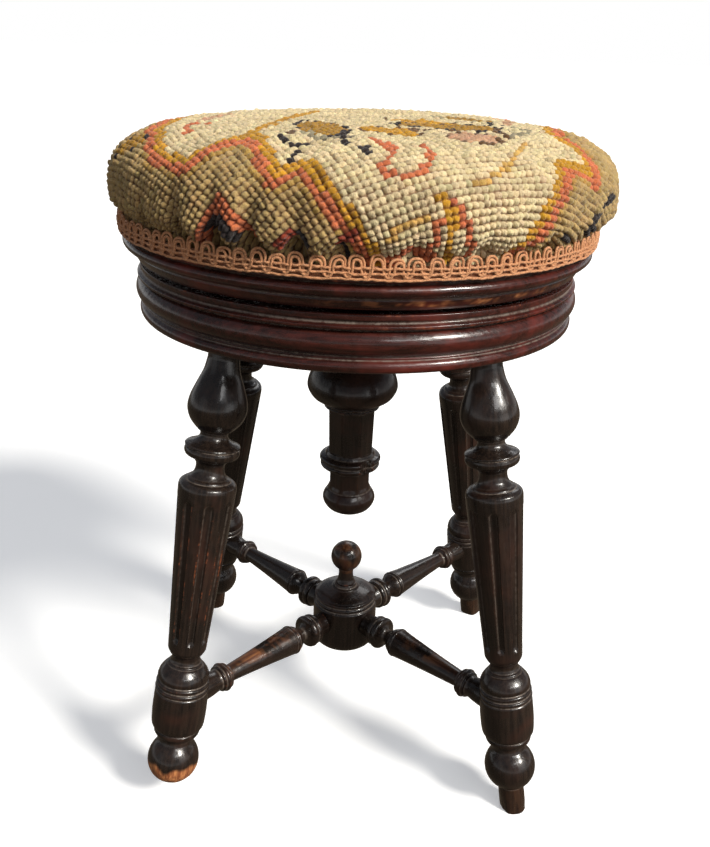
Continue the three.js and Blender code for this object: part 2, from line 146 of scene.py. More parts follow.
def arc(centre_radius, centre_height, reach, rise, start, end, steps=10):
    """Points along part of an ellipse in an outline, from one angle to another in degrees."""
    angles = np.radians(np.linspace(start, end, steps + 1))
    return [(centre_radius + reach * math.cos(a), centre_height + rise * math.sin(a)) for a in angles]


def curve(*points, steps=8):
    """Points along a smooth curve that passes through the given ones."""
    given = np.array([points[0], *points, points[-1]], float)
    made = []
    for before, start, end, after in zip(given, given[1:], given[2:], given[3:]):
        for t in np.arange(steps) / steps:
            made.append(0.5 * (
                2 * start
                + (end - before) * t
                + (2 * before - 5 * start + 4 * end - after) * t**2
                + (3 * start - before - 3 * end + after) * t**3
            ))
    return [*map(tuple, made), points[-1]]


def softened(outline, radius, closed):
    """The outline with its sharp corners eased by short curves."""
    points = np.array(outline, float)
    count = len(points)
    made = []
    for i, corner in enumerate(points):
        if not closed and i in (0, count - 1):
            made.append(corner)
            continue
        back = points[i - 1] - corner
        ahead = points[(i + 1) % count] - corner
        back_length, ahead_length = np.hypot(*back), np.hypot(*ahead)
        turn = math.pi - math.acos(np.clip(back @ ahead / (back_length * ahead_length), -1, 1))
        if turn < math.radians(14):
            made.append(corner)
            continue
        start = corner + back / back_length * min(radius, 0.4 * back_length)
        end = corner + ahead / ahead_length * min(radius, 0.4 * ahead_length)
        for t in (0, 0.3, 0.7, 1):
            made.append((1 - t) ** 2 * start + 2 * t * (1 - t) * corner + t**2 * end)
    return np.array(made)


def densified(points, step, closed):
    """The outline with no two neighbouring points further apart than step."""
    if closed:
        points = np.vstack([points, points[:1]])
    made = []
    for start, end in zip(points, points[1:]):
        pieces = max(1, math.ceil(np.hypot(*(end - start)) / step))
        made.extend(start + (end - start) * k / pieces for k in range(pieces))
    if not closed:
        made.append(points[-1])
    return np.array(made)


def convexity(points, reach, closed):
    """How far the outline turns outwards (+) or inwards (-) about each point, in right angles."""
    loop = np.vstack([points[-1:], points, points[:1]]) if closed else points
    length = np.concatenate([[0], np.cumsum(np.hypot(*np.diff(loop, axis=0).T))])

    def at(place):
        return np.stack([np.interp(place, length, loop[:, axis]) for axis in (0, 1)], axis=1)

    before = at(length) - at(length - reach)
    after = at(length + reach) - at(length)
    cross = before[:, 0] * after[:, 1] - before[:, 1] * after[:, 0]
    turn = np.arctan2(cross, (before * after).sum(axis=1)) / (math.pi / 2)
    return turn[1:-1] if closed else turn


# ---- meshes

def make_object(name, vertices, faces, look, sharp=40, **values):
    """A mesh object from points in millimetres. Values are numbers for each point, for the material."""
    mesh = bpy.data.meshes.new(name)
    mesh.from_pydata((np.asarray(vertices) * MM).tolist(), [], faces)
    mesh.shade_smooth()
    mesh.set_sharp_from_angle(angle=math.radians(sharp))
    for key, numbers in values.items():
        attribute = mesh.attributes.new(key, "FLOAT", "POINT")
        attribute.data.foreach_set("value", np.ascontiguousarray(numbers, dtype=np.float32).ravel())
    mesh.materials.append(look)
    piece = bpy.data.objects.new(name, mesh)
    bpy.context.scene.collection.objects.link(piece)
    return piece


def sheet_faces(rows, columns, wrap_rows):
    """Four-sided faces between rows of points. Each row closes on itself."""
    row = np.arange(rows if wrap_rows else rows - 1)[:, None] * columns
    column = np.arange(columns)[None, :]
    next_row = (row + columns) % (rows * columns)
    next_column = (column + 1) % columns
    quads = np.stack([row + column, row + next_column, next_row + next_column, next_row + column], axis=-1)
    return quads.reshape(-1, 4).tolist()


def cap_faces(start, columns, pole, facing_down):
    """Triangles from a row of points to a pole."""
    fans = [(pole, start + k, start + (k + 1) % columns) for k in range(columns)]
    return [(a, c, b) for a, b, c in fans] if facing_down else fans


def turned(
    name, outline, look, sides=96, shape=None, columns=None, place=Matrix(), soft=0.5, step=1.6, wear=0.4
):
    """A turned piece. The outline runs upwards outside it, from axis to axis or round a closed loop.

    shape changes the radius at each angle and height. place sets the piece in the frame, on the floor or
    above it. wear is how worn its edges are. The points keep wear and grime, each from 0 to 1.
    """
    closed = outline[0][0] > 0
    points = densified(softened(outline, soft, closed), step, closed)
    edge = convexity(points, 1.4, closed)
    if not closed:
        poles, points, edge = points[[0, -1]], points[1:-1], edge[1:-1]
    if columns is None:
        columns = np.arange(sides) * 2 * math.pi / sides
    radius = np.repeat(points[:, :1], len(columns), axis=1)
    height = np.repeat(points[:, 1:], len(columns), axis=1)
    angle = np.repeat(columns[None, :], len(points), axis=0)
    if shape:
        radius = shape(radius, angle, height)
    around = radius - (np.roll(radius, 1, axis=1) + np.roll(radius, -1, axis=1)) / 2
    ridge = np.clip(around / 0.35, -1, 1)
    worn = unit(np.maximum(edge[:, None], ridge)) * wear
    grime = unit(-np.minimum(edge[:, None], 0.35 * ridge))
    vertices = np.stack([radius * np.cos(angle), radius * np.sin(angle), height], axis=-1).reshape(-1, 3)
    faces = sheet_faces(len(points), len(columns), closed)
    if not closed:
        count = len(vertices)
        vertices = np.vstack([vertices, [[0, 0, poles[0][1]], [0, 0, poles[1][1]]]])
        faces += cap_faces(0, len(columns), count, True)
        faces += cap_faces(count - len(columns), len(columns), count + 1, False)
    spare = np.zeros(len(vertices) - worn.size)
    piece = make_object(
        name,
        on_or_over_floor(vertices, place),
        faces,
        look,
        wear=np.concatenate([worn.ravel(), spare]),
        grime=np.concatenate([grime.ravel(), spare]),
    )
    piece.matrix_world = place
    return piece


def on_or_over_floor(vertices, place):
    """The points, with those that place would put under the floor moved up to it."""
    turn = np.array(place.to_3x3())
    move = np.array(place.translation) / MM
    world = vertices @ turn.T + move
    world[:, 2] = np.maximum(world[:, 2], 0)
    return (world - move) @ turn


def tube(path, radius, ply):
    """Points and faces of a two-ply cord along a path that closes on itself. ply is the plies' slant."""
    path = np.asarray(path, float)
    ahead = np.roll(path, -1, axis=0) - np.roll(path, 1, axis=0)
    ahead /= np.linalg.norm(ahead, axis=1)[:, None]
    outward = path * [1, 1, 0]
    outward /= np.linalg.norm(outward, axis=1)[:, None]
    across = np.cross(ahead, outward)
    across /= np.linalg.norm(across, axis=1)[:, None]
    outward = np.cross(across, ahead)
    sides = 10
    turn = np.arange(sides) * 2 * math.pi / sides
    ring = np.cos(turn)[None, :, None] * outward[:, None] + np.sin(turn)[None, :, None] * across[:, None]
    length = np.cumsum(np.linalg.norm(path - np.roll(path, 1, axis=0), axis=1))
    plies = np.abs(np.cos(turn[None, :] + math.pi * length[:, None] / ply))
    vertices = path[:, None] + radius * (0.86 + 0.2 * plies)[..., None] * ring
    return vertices.reshape(-1, 3), sheet_faces(len(path), sides, True)


def joined(parts):
    """Several (points, faces) as one."""
    vertices, faces, start = [], [], 0
    for points, corners in parts:
        vertices.append(points)
        faces.extend([tuple(c + start for c in face) for face in corners])
        start += len(points)
    return np.vstack(vertices), faces


# ---- materials

def linear(red, green, blue):
    """A screen colour from 0 to 255 as the linear colour that shaders take."""
    parts = np.array([red, green, blue]) / 255
    parts = np.where(parts <= 0.04045, parts / 12.92, ((parts + 0.055) / 1.055) ** 2.4)
    return (*parts.tolist(), 1.0)


class Nodes:
    """Short calls that add nodes to a tree."""

    def __init__(self, tree):
        self.tree = tree

    def node(self, kind, **settings):
        made = self.tree.nodes.new(f"ShaderNode{kind}")
        for name, value in settings.items():
            setattr(made, name, value)
        return made

    def feed(self, socket, source):
        if isinstance(source, bpy.types.NodeSocket):
            self.tree.links.new(source, socket)
        else:
            socket.default_value = source

    def place(self, scale):
        """Coordinates of the piece itself, in metres, times a scale for each axis."""
        coordinates = self.node("TexCoord")
        node = self.node("VectorMath", operation="MULTIPLY")
        self.feed(node.inputs[0], coordinates.outputs["Object"])
        node.inputs[1].default_value = scale
        return node.outputs[0]

    def noise(self, scale, detail=3, roughness=0.5, distortion=0):
        """Noise from 0 to 1, with about scale features in a metre, or a scale for each axis."""
        node = self.node("TexNoise")
        self.feed(node.inputs["Vector"], self.place(scale if isinstance(scale, tuple) else (scale,) * 3))
        settings = {"Scale": 1, "Detail": detail, "Roughness": roughness, "Distortion": distortion}
        for socket, number in settings.items():
            node.inputs[socket].default_value = number
        return node.outputs[0]

    def kept(self, name, output="Fac"):
        """A number or colour that the mesh keeps."""
        return self.node("Attribute", attribute_name=name).outputs[output]

    def maths(self, operation, first, second):
        node = self.node("Math", operation=operation)
        self.feed(node.inputs[0], first)
        self.feed(node.inputs[1], second)
        return node.outputs[0]

    def plus(self, first, second):
        return self.maths("ADD", first, second)

    def times(self, first, second):
        return self.maths("MULTIPLY", first, second)

    def spread(self, value, low, high, to_low=0.0, to_high=1.0):
        """The value from low to high stretched over another range, and held at its ends."""
        node = self.node("MapRange", interpolation_type="SMOOTHSTEP")
        self.feed(node.inputs["Value"], value)
        ends = {"From Min": low, "From Max": high, "To Min": to_low, "To Max": to_high}
        for socket, number in ends.items():
            node.inputs[socket].default_value = number
        return node.outputs[0]

    def mix(self, factor, first, second, blend="MIX"):
        node = self.node("Mix", data_type="RGBA", blend_type=blend)
        self.feed(node.inputs[0], factor)
        self.feed(node.inputs[6], first)
        self.feed(node.inputs[7], second)
        return node.outputs[2]

    def bump(self, height, distance, normal=None):
        node = self.node("Bump")
        node.inputs["Distance"].default_value = distance
        self.feed(node.inputs["Height"], height)
        if normal:
            self.feed(node.inputs["Normal"], normal)
        return node.outputs[0]


class Look(Nodes):
    """A node material and its shader. Constants are set on the shader's own sockets."""

    def __init__(self, name, **constants):
        self.material = bpy.data.materials.new(name)
        self.material.use_nodes = True
        super().__init__(self.material.node_tree)
        self.shader = self.tree.nodes["Principled BSDF"]
        self.surface(**constants)

    def surface(self, **sources):
        for socket, source in sources.items():
            self.feed(self.shader.inputs[socket.replace("_", " ")], source)
        return self.material


def stained_wood(name, along, dark, brown, red):
    """Dark stain under old French polish. along is the scale of the grain, small where it runs."""
    look = Look(name, Specular_IOR_Level=0.34, Coat_Weight=0.36, Coat_Roughness=0.1)
    across = tuple(a * 3.1 for a in along)
    grain = look.noise(along, detail=5, roughness=0.62)
    pores = look.noise(across, detail=2, roughness=0.5)
    clouds = look.noise(17, detail=3, roughness=0.6, distortion=0.6)
    specks = look.noise(310, detail=3, roughness=0.65)
    colour = look.mix(look.spread(grain, 0.32, 0.7), dark, brown)
    colour = look.mix(look.spread(clouds, 0.46, 0.72, 0, 0.75), colour, red)
    colour = look.mix(look.spread(pores, 0.6, 0.72, 0, 0.7), colour, (0.003, 0.002, 0.002, 1))
    rub = look.plus(look.times(grain, 0.55), look.times(specks, 0.65))
    rub = look.times(look.spread(rub, 0.62, 0.73), look.spread(clouds, 0.42, 0.58))
    worn = look.times(look.spread(look.kept("wear"), 0.08, 0.6), rub)
    colour = look.mix(worn, colour, linear(142, 74, 40))
    dust = look.spread(specks, 0.35, 0.6, 0.2, 0.75)
    dust = look.times(look.spread(look.kept("grime"), 0.1, 0.6), dust)
    colour = look.mix(dust, colour, linear(112, 100, 90))
    timber = look.mix(look.spread(grain, 0.35, 0.65), linear(146, 82, 50), linear(226, 150, 94))
    colour = look.mix(look.kept("bare"), colour, timber)
    dull = look.spread(specks, 0.4, 0.7, 0, 0.08)
    dull = look.plus(look.spread(clouds, 0.3, 0.7, 0.2, 0.34), dull)
    dull = look.plus(dull, look.times(look.plus(worn, dust), 0.35))
    dull = look.plus(dull, look.times(look.kept("bare"), 0.3))
    relief = look.bump(grain, 0.00022)
    relief = look.bump(look.noise(95, detail=2), 0.0005, relief)
    return look.surface(Base_Color=colour, Roughness=dull, Normal=relief)


def plain_wood():
    look = Look("plain_wood", Specular_IOR_Level=0.3)
    grain = look.noise((9, 300, 300), detail=5, roughness=0.6)
    figure = look.noise((3, 42, 42), detail=3, distortion=1.2)
    colour = look.mix(look.spread(grain, 0.3, 0.7), linear(96, 66, 40), linear(142, 102, 64))
    colour = look.mix(look.spread(figure, 0.35, 0.7, 0, 0.6), colour, linear(84, 54, 33))
    colour = look.mix(look.spread(look.noise(30, detail=4), 0.5, 0.75, 0, 0.5), colour, linear(52, 40, 30))
    dull = look.spread(grain, 0.3, 0.7, 0.62, 0.85)
    return look.surface(Base_Color=colour, Roughness=dull, Normal=look.bump(grain, 0.0004))


def cast_iron():
    look = Look("cast_iron", Metallic=0.75)
    skin = look.noise(420, detail=5, roughness=0.65)
    rust = look.spread(look.noise(34, detail=5, roughness=0.7), 0.52, 0.68, 0, 0.8)
    colour = look.mix(look.spread(skin, 0.3, 0.7), linear(38, 36, 35), linear(70, 67, 63))
    colour = look.mix(rust, colour, linear(96, 56, 34))
    dull = look.spread(skin, 0.3, 0.7, 0.5, 0.75)
    return look.surface(Base_Color=colour, Roughness=dull, Normal=look.bump(skin, 0.0005))


def screw_steel():
    look = Look("screw_steel", Metallic=1.0)
    lathe_lines = look.noise((60, 60, 1900), detail=2)
    oil = look.noise(55, detail=4, roughness=0.6)
    colour = look.mix(look.spread(oil, 0.35, 0.65), linear(92, 86, 78), linear(140, 134, 124))
    colour = look.mix(look.spread(look.noise(240, detail=4), 0.56, 0.7, 0, 0.7), colour, linear(70, 45, 30))
    dull = look.spread(oil, 0.3, 0.7, 0.28, 0.5)
    return look.surface(Base_Color=colour, Roughness=dull, Normal=look.bump(lathe_lines, 0.0001))


def wool():
    look = Look("needlepoint", Specular_IOR_Level=0.18, Sheen_Weight=0.25, Sheen_Roughness=0.5)
    fibres = look.noise(2600, detail=3, roughness=0.6)
    strands = look.noise((1500, 420, 900), detail=2)
    fading = look.noise(16, detail=4, roughness=0.6)
    colour = look.kept("colour", "Color")
    colour = look.mix(look.spread(fibres, 0.3, 0.7, 0.32, 0), colour, (0.09, 0.05, 0.02, 1), "MULTIPLY")
    # Painted shade and dirt: the wool is darkened towards warm brown in the gaps between the stitches, where
    # shade falls.
    pit = look.spread(look.kept("pit"), 0.3, 0.95, 0, 0.75)
    colour = look.mix(pit, colour, linear(122, 78, 42), "MULTIPLY")
    colour = look.mix(look.spread(fading, 0.45, 0.75, 0, 0.28), colour, linear(150, 124, 84), "MULTIPLY")
    fuzz = look.bump(strands, 0.001)
    fuzz = look.bump(fibres, 0.00035, fuzz)
    return look.surface(Base_Color=colour, Roughness=look.spread(fibres, 0.3, 0.7, 0.8, 0.98), Normal=fuzz)


def gimp_cotton():
    look = Look("gimp", Specular_IOR_Level=0.3, Sheen_Weight=0.15)
    threads = look.noise(2100, detail=3, roughness=0.6)
    fading = look.noise(26, detail=3)
    colour = look.mix(look.spread(threads, 0.32, 0.68), linear(148, 86, 50), linear(232, 174, 126))
    colour = look.mix(look.spread(fading, 0.4, 0.7, 0, 0.5), colour, linear(198, 136, 92))
    grime = look.spread(look.kept("grime"), 0, 1, 0, 0.7)
    colour = look.mix(grime, colour, linear(150, 96, 64), "MULTIPLY")
    dull = look.spread(threads, 0.3, 0.7, 0.55, 0.8)
    return look.surface(Base_Color=colour, Roughness=dull, Normal=look.bump(threads, 0.0005))


leg_wood = stained_wood(
    "stained_wood_along", (430, 430, 15), linear(22, 17, 15), linear(43, 33, 27), linear(58, 33, 25))
ring_wood = stained_wood(
    "stained_wood_across", (13, 430, 430), linear(34, 15, 11), linear(66, 29, 23), linear(108, 39, 30))


# ---- turned pieces

def finish_piece(piece, body, slot, *nodes):
    """The piece stands for the nodes, and moves with the body."""
    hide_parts(*nodes)
    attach(piece, body)


def frame_ring():
    outline = [
        (104, FRAME_UNDERSIDE), (156.2, FRAME_UNDERSIDE),
        *arc(156.2, 364.1, 3.2, 3.9, -78, 66),
        (156.4, 368.6), (156.9, 369.6),
        *arc(151.2, 379, 10.4, 9.2, -64, 62, 18),
        (157.4, 387.9), (160.2, 388.5), (160.3, 390.3), (157.4, 391.7), (157.2, 392.6),
        (158.2, 393.6), (158.2, FRAME_TOP), (104, FRAME_TOP),
    ]
    return turned("turned_frame_ring", outline, ring_wood, sides=240, soft=0.45, wear=0.5)


def seat_rim():
    outline = [
        (134, SEAT_UNDERSIDE), (158.6, SEAT_UNDERSIDE), (160.4, 402.6), (161.9, 406.2),
        (161.3, 407.6),
        *arc(161.2, 413.4, 8, 4.9, -68, 60, 16),
        (166.2, 417.9), (167.6, 418.4), (167.6, SEAT_TOP), (140, SEAT_TOP), (140, 405.3),
        (134, 405.3),
    ]
    piece = turned("turned_seat_rim", outline, ring_wood, sides=360, soft=0.45, wear=0.7)

    def rubbed_edge(x, y, z):
        at_front = (y < 0) * bell(x - 58, 62)
        broken = unit(0.1 + drift(x / 3, z / 2, 61) + 0.7 * drift(x, z, 62))
        return 0.8 * at_front * broken * bell(z - (SEAT_UNDERSIDE + 4.2), 2)

    keep_number(piece, "bare", rubbed_edge)
    return piece


def eight_sided(radius, angle):
    """The radius at an angle of an eight-sided shaft whose corners are at the given radius."""
    eighth = math.pi / 4
    corner = np.cos(eighth / 2) / np.cos(angle % eighth - eighth / 2)
    return radius * np.minimum(corner, 0.992)


def housing_shape(radius, angle, height):
    """Eight flats on the two waists, and a chip out of the ridge between them."""
    for bottom, top in ((208.4, 223.8), (240.6, 277.9)):
        waist = (height > bottom) & (height < top) & (radius > 14) & (radius < 21)
        radius = np.where(waist, eight_sided(radius, angle), radius)
    toward_chip = np.abs((angle - CHIP_ANGLE + math.pi) % (2 * math.pi) - math.pi)
    chipped = (height > 225) & (height < 239) & (radius > 20) & (toward_chip < CHIP_HALF_ANGLE)
    bite = 3.4 * np.sqrt(unit(1 - (toward_chip / CHIP_HALF_ANGLE) ** 2))
    rough = 0.5 * drift(angle * 40, height, 5)
    return np.where(chipped, np.minimum(radius, 24.4 - bite + rough), radius)


def screw_housing():
    outline = [
        (0, 185.5), (9, 185.9),
        *curve((12, 186.6), (17.4, 190), (20.9, 195.4), (21.2, 200.4), (18.6, 205.2)),
        (17.3, 206.4), (17.2, 208.2), (17.2, 224), (18.2, 224.8), (20.4, 226),
        *arc(21.2, 229.1, 2.7, 2.4, -70, 60, 8),
        (22.9, 231.6),
        *arc(21.9, 234.3, 2.8, 2.4, -60, 76, 8),
        (20, 237.6), (18.6, 240.4), (19.5, 278),
        *arc(20.6, 279.3, 1.4, 1.1, -70, 70, 6),
        *arc(20.8, 281.9, 1.6, 1.1, -70, 60, 6),
        *curve(
            (24, 283.4), (31, 287.4), (35, 293.6), (35.5, 299),
            (33, 307), (27.6, 317), (24.2, 326), (22.9, 336),
        ),
        (23.6, 341), (27, 347), (34.4, 352.2), (34.6, 357.8), (33, 359.7), (24, 359.7),
        (24, FRAME_BOARD_TOP), (17.8, FRAME_BOARD_TOP), (17.8, 363.2), (12.8, 363.2), (12.8, 237),
        (0, 237),
    ]
    turn = Matrix.Rotation(math.pi / FLUTES, 4, "Z")
    return turned(
        "turned_screw_housing", outline, leg_wood, sides=128, shape=housing_shape, place=turn, wear=0.35)


def leg_outline(has_toe):
    toe = [(0, -4), (8.6, -4), (9.7, 14), (9.6, 20.8)] if has_toe else [(0, 19.2), (5.4, 19.7), (7.8, 21.2)]
    return [
        *toe,
        *arc(0, 38.1, 19.2, 19.2, -60 if has_toe else -56, 45, 26),
        *curve((12.4, 53.4), (11.8, 56), (12.3, 58.4), steps=4),
        *curve((13.2, 59.2), (15.8, 60.4), (17, 62.6), (16.9, 64.6), steps=5),
        (16.2, 65.2), (16.6, 66),
        *curve((18, 66.6), (19.2, 68.6), (19.8, 73), (20.1, 83), (19.7, 96.6), steps=6),
        (18.9, 97.6),
        *arc(18.6, 99.6, 1.3, 1.5, -60, 60, 6),
        (18.5, 101.6),
        *arc(17.9, 103.9, 1.7, 1.8, -60, 70, 6),
        (17.7, 106.4),
        *curve((18.6, 107), (18.9, 109.4), (17.6, 113.4), (14.6, 117.4), (12.8, 118.8), steps=6),
        (12.6, 119.9),
        *curve((11.2, 120.7), (10.3, 123.4), (10.9, 126.6), (12.4, 128.6), steps=5),
        (12.5, 129.6),
        *curve((13.2, 130.1), (13.9, 131.9), (14.1, 134.6), steps=4),
        (20.3, 252), (20.5, 257.2),
        *curve((20.5, 258.4), (19.9, 260.8), (18, 262.6), (15.6, 263.4), steps=6),
        (15.2, 264.6),
        *curve((13.2, 265.6), (10.9, 268.6), (10, 272.4), (10.4, 275.8), (12.2, 278.4), steps=6),
        (12.8, 279.6),
        *curve((15.2, 280.2), (18.2, 281.8), (19.3, 284.4), (18.9, 286.8), steps=6),
        (17.9, 287.6), (19.5, 288.6), (18.9, 289.6),
        *curve((14.4, 291.3), (10.9, 293.8), (9.6, 296.6), (10.2, 299), steps=6),
        (11.9, 299.8), (12.2, 301),
        *curve(
            (13.6, 301.6), (18.1, 307.2), (20.5, 314.6), (19.7, 322.4),
            (16.2, 332.4), (12.6, 341.6), (10.9, 350.6),
        ),
        (10.9, 362), (0, 362),
    ]


def flute_columns():
    """Angles of a leg's columns of points: close together across each flute, and at both of its edges."""
    flute = 2 * math.pi / FLUTES
    across = np.linspace(-FLUTE_HALF_ANGLE, FLUTE_HALF_ANGLE, 9)[:-1]
    land = np.linspace(FLUTE_HALF_ANGLE, flute - FLUTE_HALF_ANGLE, 6)[:-1]
    return np.concatenate([np.concatenate([across, land]) + k * flute for k in range(FLUTES)])


def flute_cut(angle, height):
    """How deep the gouge went at an angle and a height of the leg, with a rounded end above and below."""
    flute = 2 * math.pi / FLUTES
    from_middle = np.abs((angle + flute / 2) % flute - flute / 2)
    to_end = np.minimum(height - FLUTE_BOTTOM, FLUTE_TOP - height)
    opening = np.sqrt(unit(1 - (1 - unit(to_end / FLUTE_END)) ** 2))
    edge = np.maximum(opening * FLUTE_HALF_ANGLE, 1e-6)
    return FLUTE_DEPTH * opening * np.sqrt(unit(1 - (from_middle / edge) ** 2))


def leg_shape(has_toe, seed):
    def shape(radius, angle, height):
        radius = radius - flute_cut(angle, height)
        if has_toe:
            splinter = unit((17 - height) / 12)
            whittled = 0.6 * drift(np.cos(angle) * 7, np.sin(angle) * 7, seed) - 0.3 * np.cos(4 * angle)
            return radius + splinter * whittled * (radius > 3)
        broken = unit((27 - height) / 7)
        splintered = drift(np.cos(angle) * 3, np.sin(angle) * 3 + height / 6, seed)
        return radius + broken * (0.8 * splintered - 0.5)
    return shape


# The legs: degrees from +X, the turn of the flutes, the toe, the wear of edges and the rubbing of the rail.
LEGS = {
    "front_left": {"angle": -135, "turn": FLUTE_TURN, "has_toe": False, "wear": 0.5, "rub": 0.28},
    "front_right": {"angle": -45, "turn": -FLUTE_TURN, "has_toe": True, "wear": 0.2, "rub": 0.17},
    "back_left": {"angle": 135, "turn": -FLUTE_TURN, "has_toe": True, "wear": 0.25, "rub": 0},
    "back_right": {"angle": 45, "turn": FLUTE_TURN, "has_toe": True, "wear": 0.25, "rub": 0},
}


def leg_place(leg):
    lean = Matrix.Rotation(-LEG_SPLAY, 4, "Y")
    stand = Matrix.Translation((LEG_FLOOR_RADIUS * MM, 0, 0))
    flutes = Matrix.Rotation(leg["turn"], 4, "Z")
    return Matrix.Rotation(math.radians(leg["angle"]), 4, "Z") @ stand @ lean @ flutes


def rail_place(leg):
    reach = LEG_FLOOR_RADIUS - LEG_RAIL_HEIGHT * math.tan(LEG_SPLAY)
    slope = math.atan2(LEG_RAIL_HEIGHT - HUB_RAIL_HEIGHT, reach)
    lie = Matrix.Rotation(math.pi / 2 - slope, 4, "Y")
    lift = Matrix.Translation((0, 0, HUB_RAIL_HEIGHT * MM))
    return Matrix.Rotation(math.radians(leg["angle"]), 4, "Z") @ lift @ lie


def keep_number(piece, name, amount):
    """Gives each point of a piece a number from 0 to 1: one for all, or from its place in millimetres."""
    points = np.empty(len(piece.data.vertices) * 3, np.float32)
    piece.data.vertices.foreach_get("co", points)
    x, y, z = points.reshape(-1, 3).T / MM
    numbers = amount(x, y, z) if callable(amount) else np.full(len(x), amount)
    attribute = piece.data.attributes.new(name, "FLOAT", "POINT")
    attribute.data.foreach_set("value", unit(numbers).astype(np.float32))


def turned_leg(name, leg):
    seed = abs(leg["angle"])
    piece = turned(
        f"turned_{name}_leg",
        leg_outline(leg["has_toe"]),
        leg_wood,
        columns=flute_columns(),
        shape=leg_shape(leg["has_toe"], seed),
        place=leg_place(leg),
        step=1.4,
        wear=leg["wear"],
    )

    def scuffed_foot(x, y, z):
        top = 24 if leg["has_toe"] else 39
        ragged = 2.2 * drift(x / 4, y / 4, seed + 1)
        strength = 0.04 if leg["has_toe"] else 0.95
        low = unit((top + ragged - z) / 2.5)
        return strength * low * (0.8 + 0.2 * drift(x, y + z / 3, seed + 2))

    keep_number(piece, "bare", scuffed_foot)
    return piece


def stretcher(name, leg):
    outline = [
        (0, 20), (7, 20), (7, 26.4),
        *curve((9.4, 27.4), (9.5, 31), (10.4, 35.4), steps=4),
        (10.6, 36.4),
        *arc(11.3, 38.9, 1.5, 2.2, -70, 60, 6),
        (12.3, 41.4),
        *arc(11.9, 44.2, 1.6, 2.5, -65, 70, 6),
        (11.6, 47),
        *curve((8.8, 47.8), (6, 49.6), (5.3, 51.6), (6.6, 54.4), (9.4, 57.4), (10.9, 60.2), steps=5),
        (10.6, 60.9),
        *arc(10.6, 62.8, 1.6, 1.7, -70, 60, 6),
        *curve((11.7, 65), (10.6, 76), (8.3, 103), (6.6, 127.6)),
        (6.9, 129),
        *arc(8.8, 131.2, 1.4, 1.3, -80, 60, 6),
        (9.9, 132.4),
        *arc(9.9, 134.4, 1.6, 1.6, -60, 60, 6),
        (10.2, 136.2),
        *arc(9, 137.6, 1.3, 1.2, -50, 80, 6),
        *curve((8.6, 139.2), (8.4, 141.6), (9.2, 147), (9.7, 152), steps=4),
        (9.8, 162), (0, 162),
    ]
    piece = turned(
        f"turned_{name}_stretcher",
        outline,
        leg_wood,
        sides=72,
        place=rail_place(leg),
        soft=0.4,
        wear=leg["wear"],
    )

    def rubbed_top(x, y, z):
        upper = unit((-x / np.maximum(np.hypot(x, y), 1) - 0.35) / 0.4)
        broken = unit(0.25 + drift(x / 3, z / 9, 8) + 0.5 * drift(y, z / 2, 9))
        return leg["rub"] * upper * bell(z - 98, 26) * broken

    keep_number(piece, "bare", rubbed_top)
    return piece


def stretcher_hub():
    outline = [
        (0, 49), (4.6, 49.1),
        *curve((6.3, 50), (6.6, 52), (8.2, 53.8), steps=4),
        *curve((9.4, 54.4), (15.6, 56.4), (21.4, 59), (25.4, 62.4), (27, 66.6), steps=6),
        (27.2, 68), (27.2, 97.4), (26.2, 98.3),
        *arc(24.8, 100.6, 1.5, 1.7, -60, 60, 6),
        (25.1, 102.6),
        *arc(24.2, 104.7, 1.9, 1.6, -60, 80, 6),
        (24.2, 106.6),
        *curve((23.6, 107.2), (21.2, 108.6), (15.6, 110.4), (11.6, 111.6), steps=5),
        (10.9, 112.4), (9.4, 113), (8.8, 115.5), (0, 115.6),
    ]
    return turned("turned_stretcher_hub", outline, leg_wood, sides=120, wear=0.35)


def hub_finial():
    outline = [
        (0, 104), (5, 104), (5, 115.6), (8.2, 115.9),
        *curve((7.9, 116.8), (6.6, 120), (6.1, 125), (6.4, 129.4), steps=5),
        *arc(0, 141, 13, 13, -58, 90, 26)[:-1],
        (0, 154),
    ]
    return turned("turned_hub_finial", outline, leg_wood, sides=80, soft=0.3, wear=0.5)


def seat_screw():
    """The iron screw, with its square-cut right-hand thread."""
    def shape(radius, angle, height):
        along = (height - THREAD_START - THREAD_PITCH * angle / (2 * math.pi)) % THREAD_PITCH
        crest, flank = 5, 1
        places = [0, crest, crest + flank, THREAD_PITCH - flank, THREAD_PITCH]
        cut = np.interp(along, places, [0, 0, 1, 1, 0]) * (THREAD_RADIUS - THREAD_ROOT_RADIUS)
        threaded = (height >= THREAD_BOTTOM) & (height <= THREAD_TOP) & (radius > 9)
        return np.where(threaded, radius - cut, radius)

    outline = [
        (0, 245.5), (4.4, 245.5), (5, 246.2), (5, 257.6), (THREAD_RADIUS, THREAD_BOTTOM + 0.2),
        (THREAD_RADIUS, THREAD_TOP - 0.2), (8, THREAD_TOP), (8, 405.2), (0, 405.2),
    ]
    return turned("threaded_seat_screw", outline, steel, shape=shape, soft=0.2, step=0.6)


# ---- needlepoint

WOOLS = {
    "cream": (234, 213, 166),
    "drab": (192, 162, 106),
    "olive": (190, 152, 80),
    "straw": (220, 176, 96),
    "gold": (210, 154, 40),
    "ochre": (178, 132, 38),
    "coral": (216, 120, 76),
    "rust": (156, 62, 36),
    "pink": (210, 164, 128),
    "grey": (158, 148, 118),
    "brown": (112, 82, 52),
    "black": (46, 36, 34),
}

# The zigzag border: half of its corners. The other half is the same, turned half way round.
BORDER = [
    (3.5, 56), (3.5, 50.5), (9.5, 42), (13, 35.5), (19, 36), (20, 25.5), (27, 13), (33, 4),
    (37.5, -9), (36, -16.5), (25.5, -16), (28, -28.5), (24, -29), (23, -38), (22, -44), (21, -56),
]

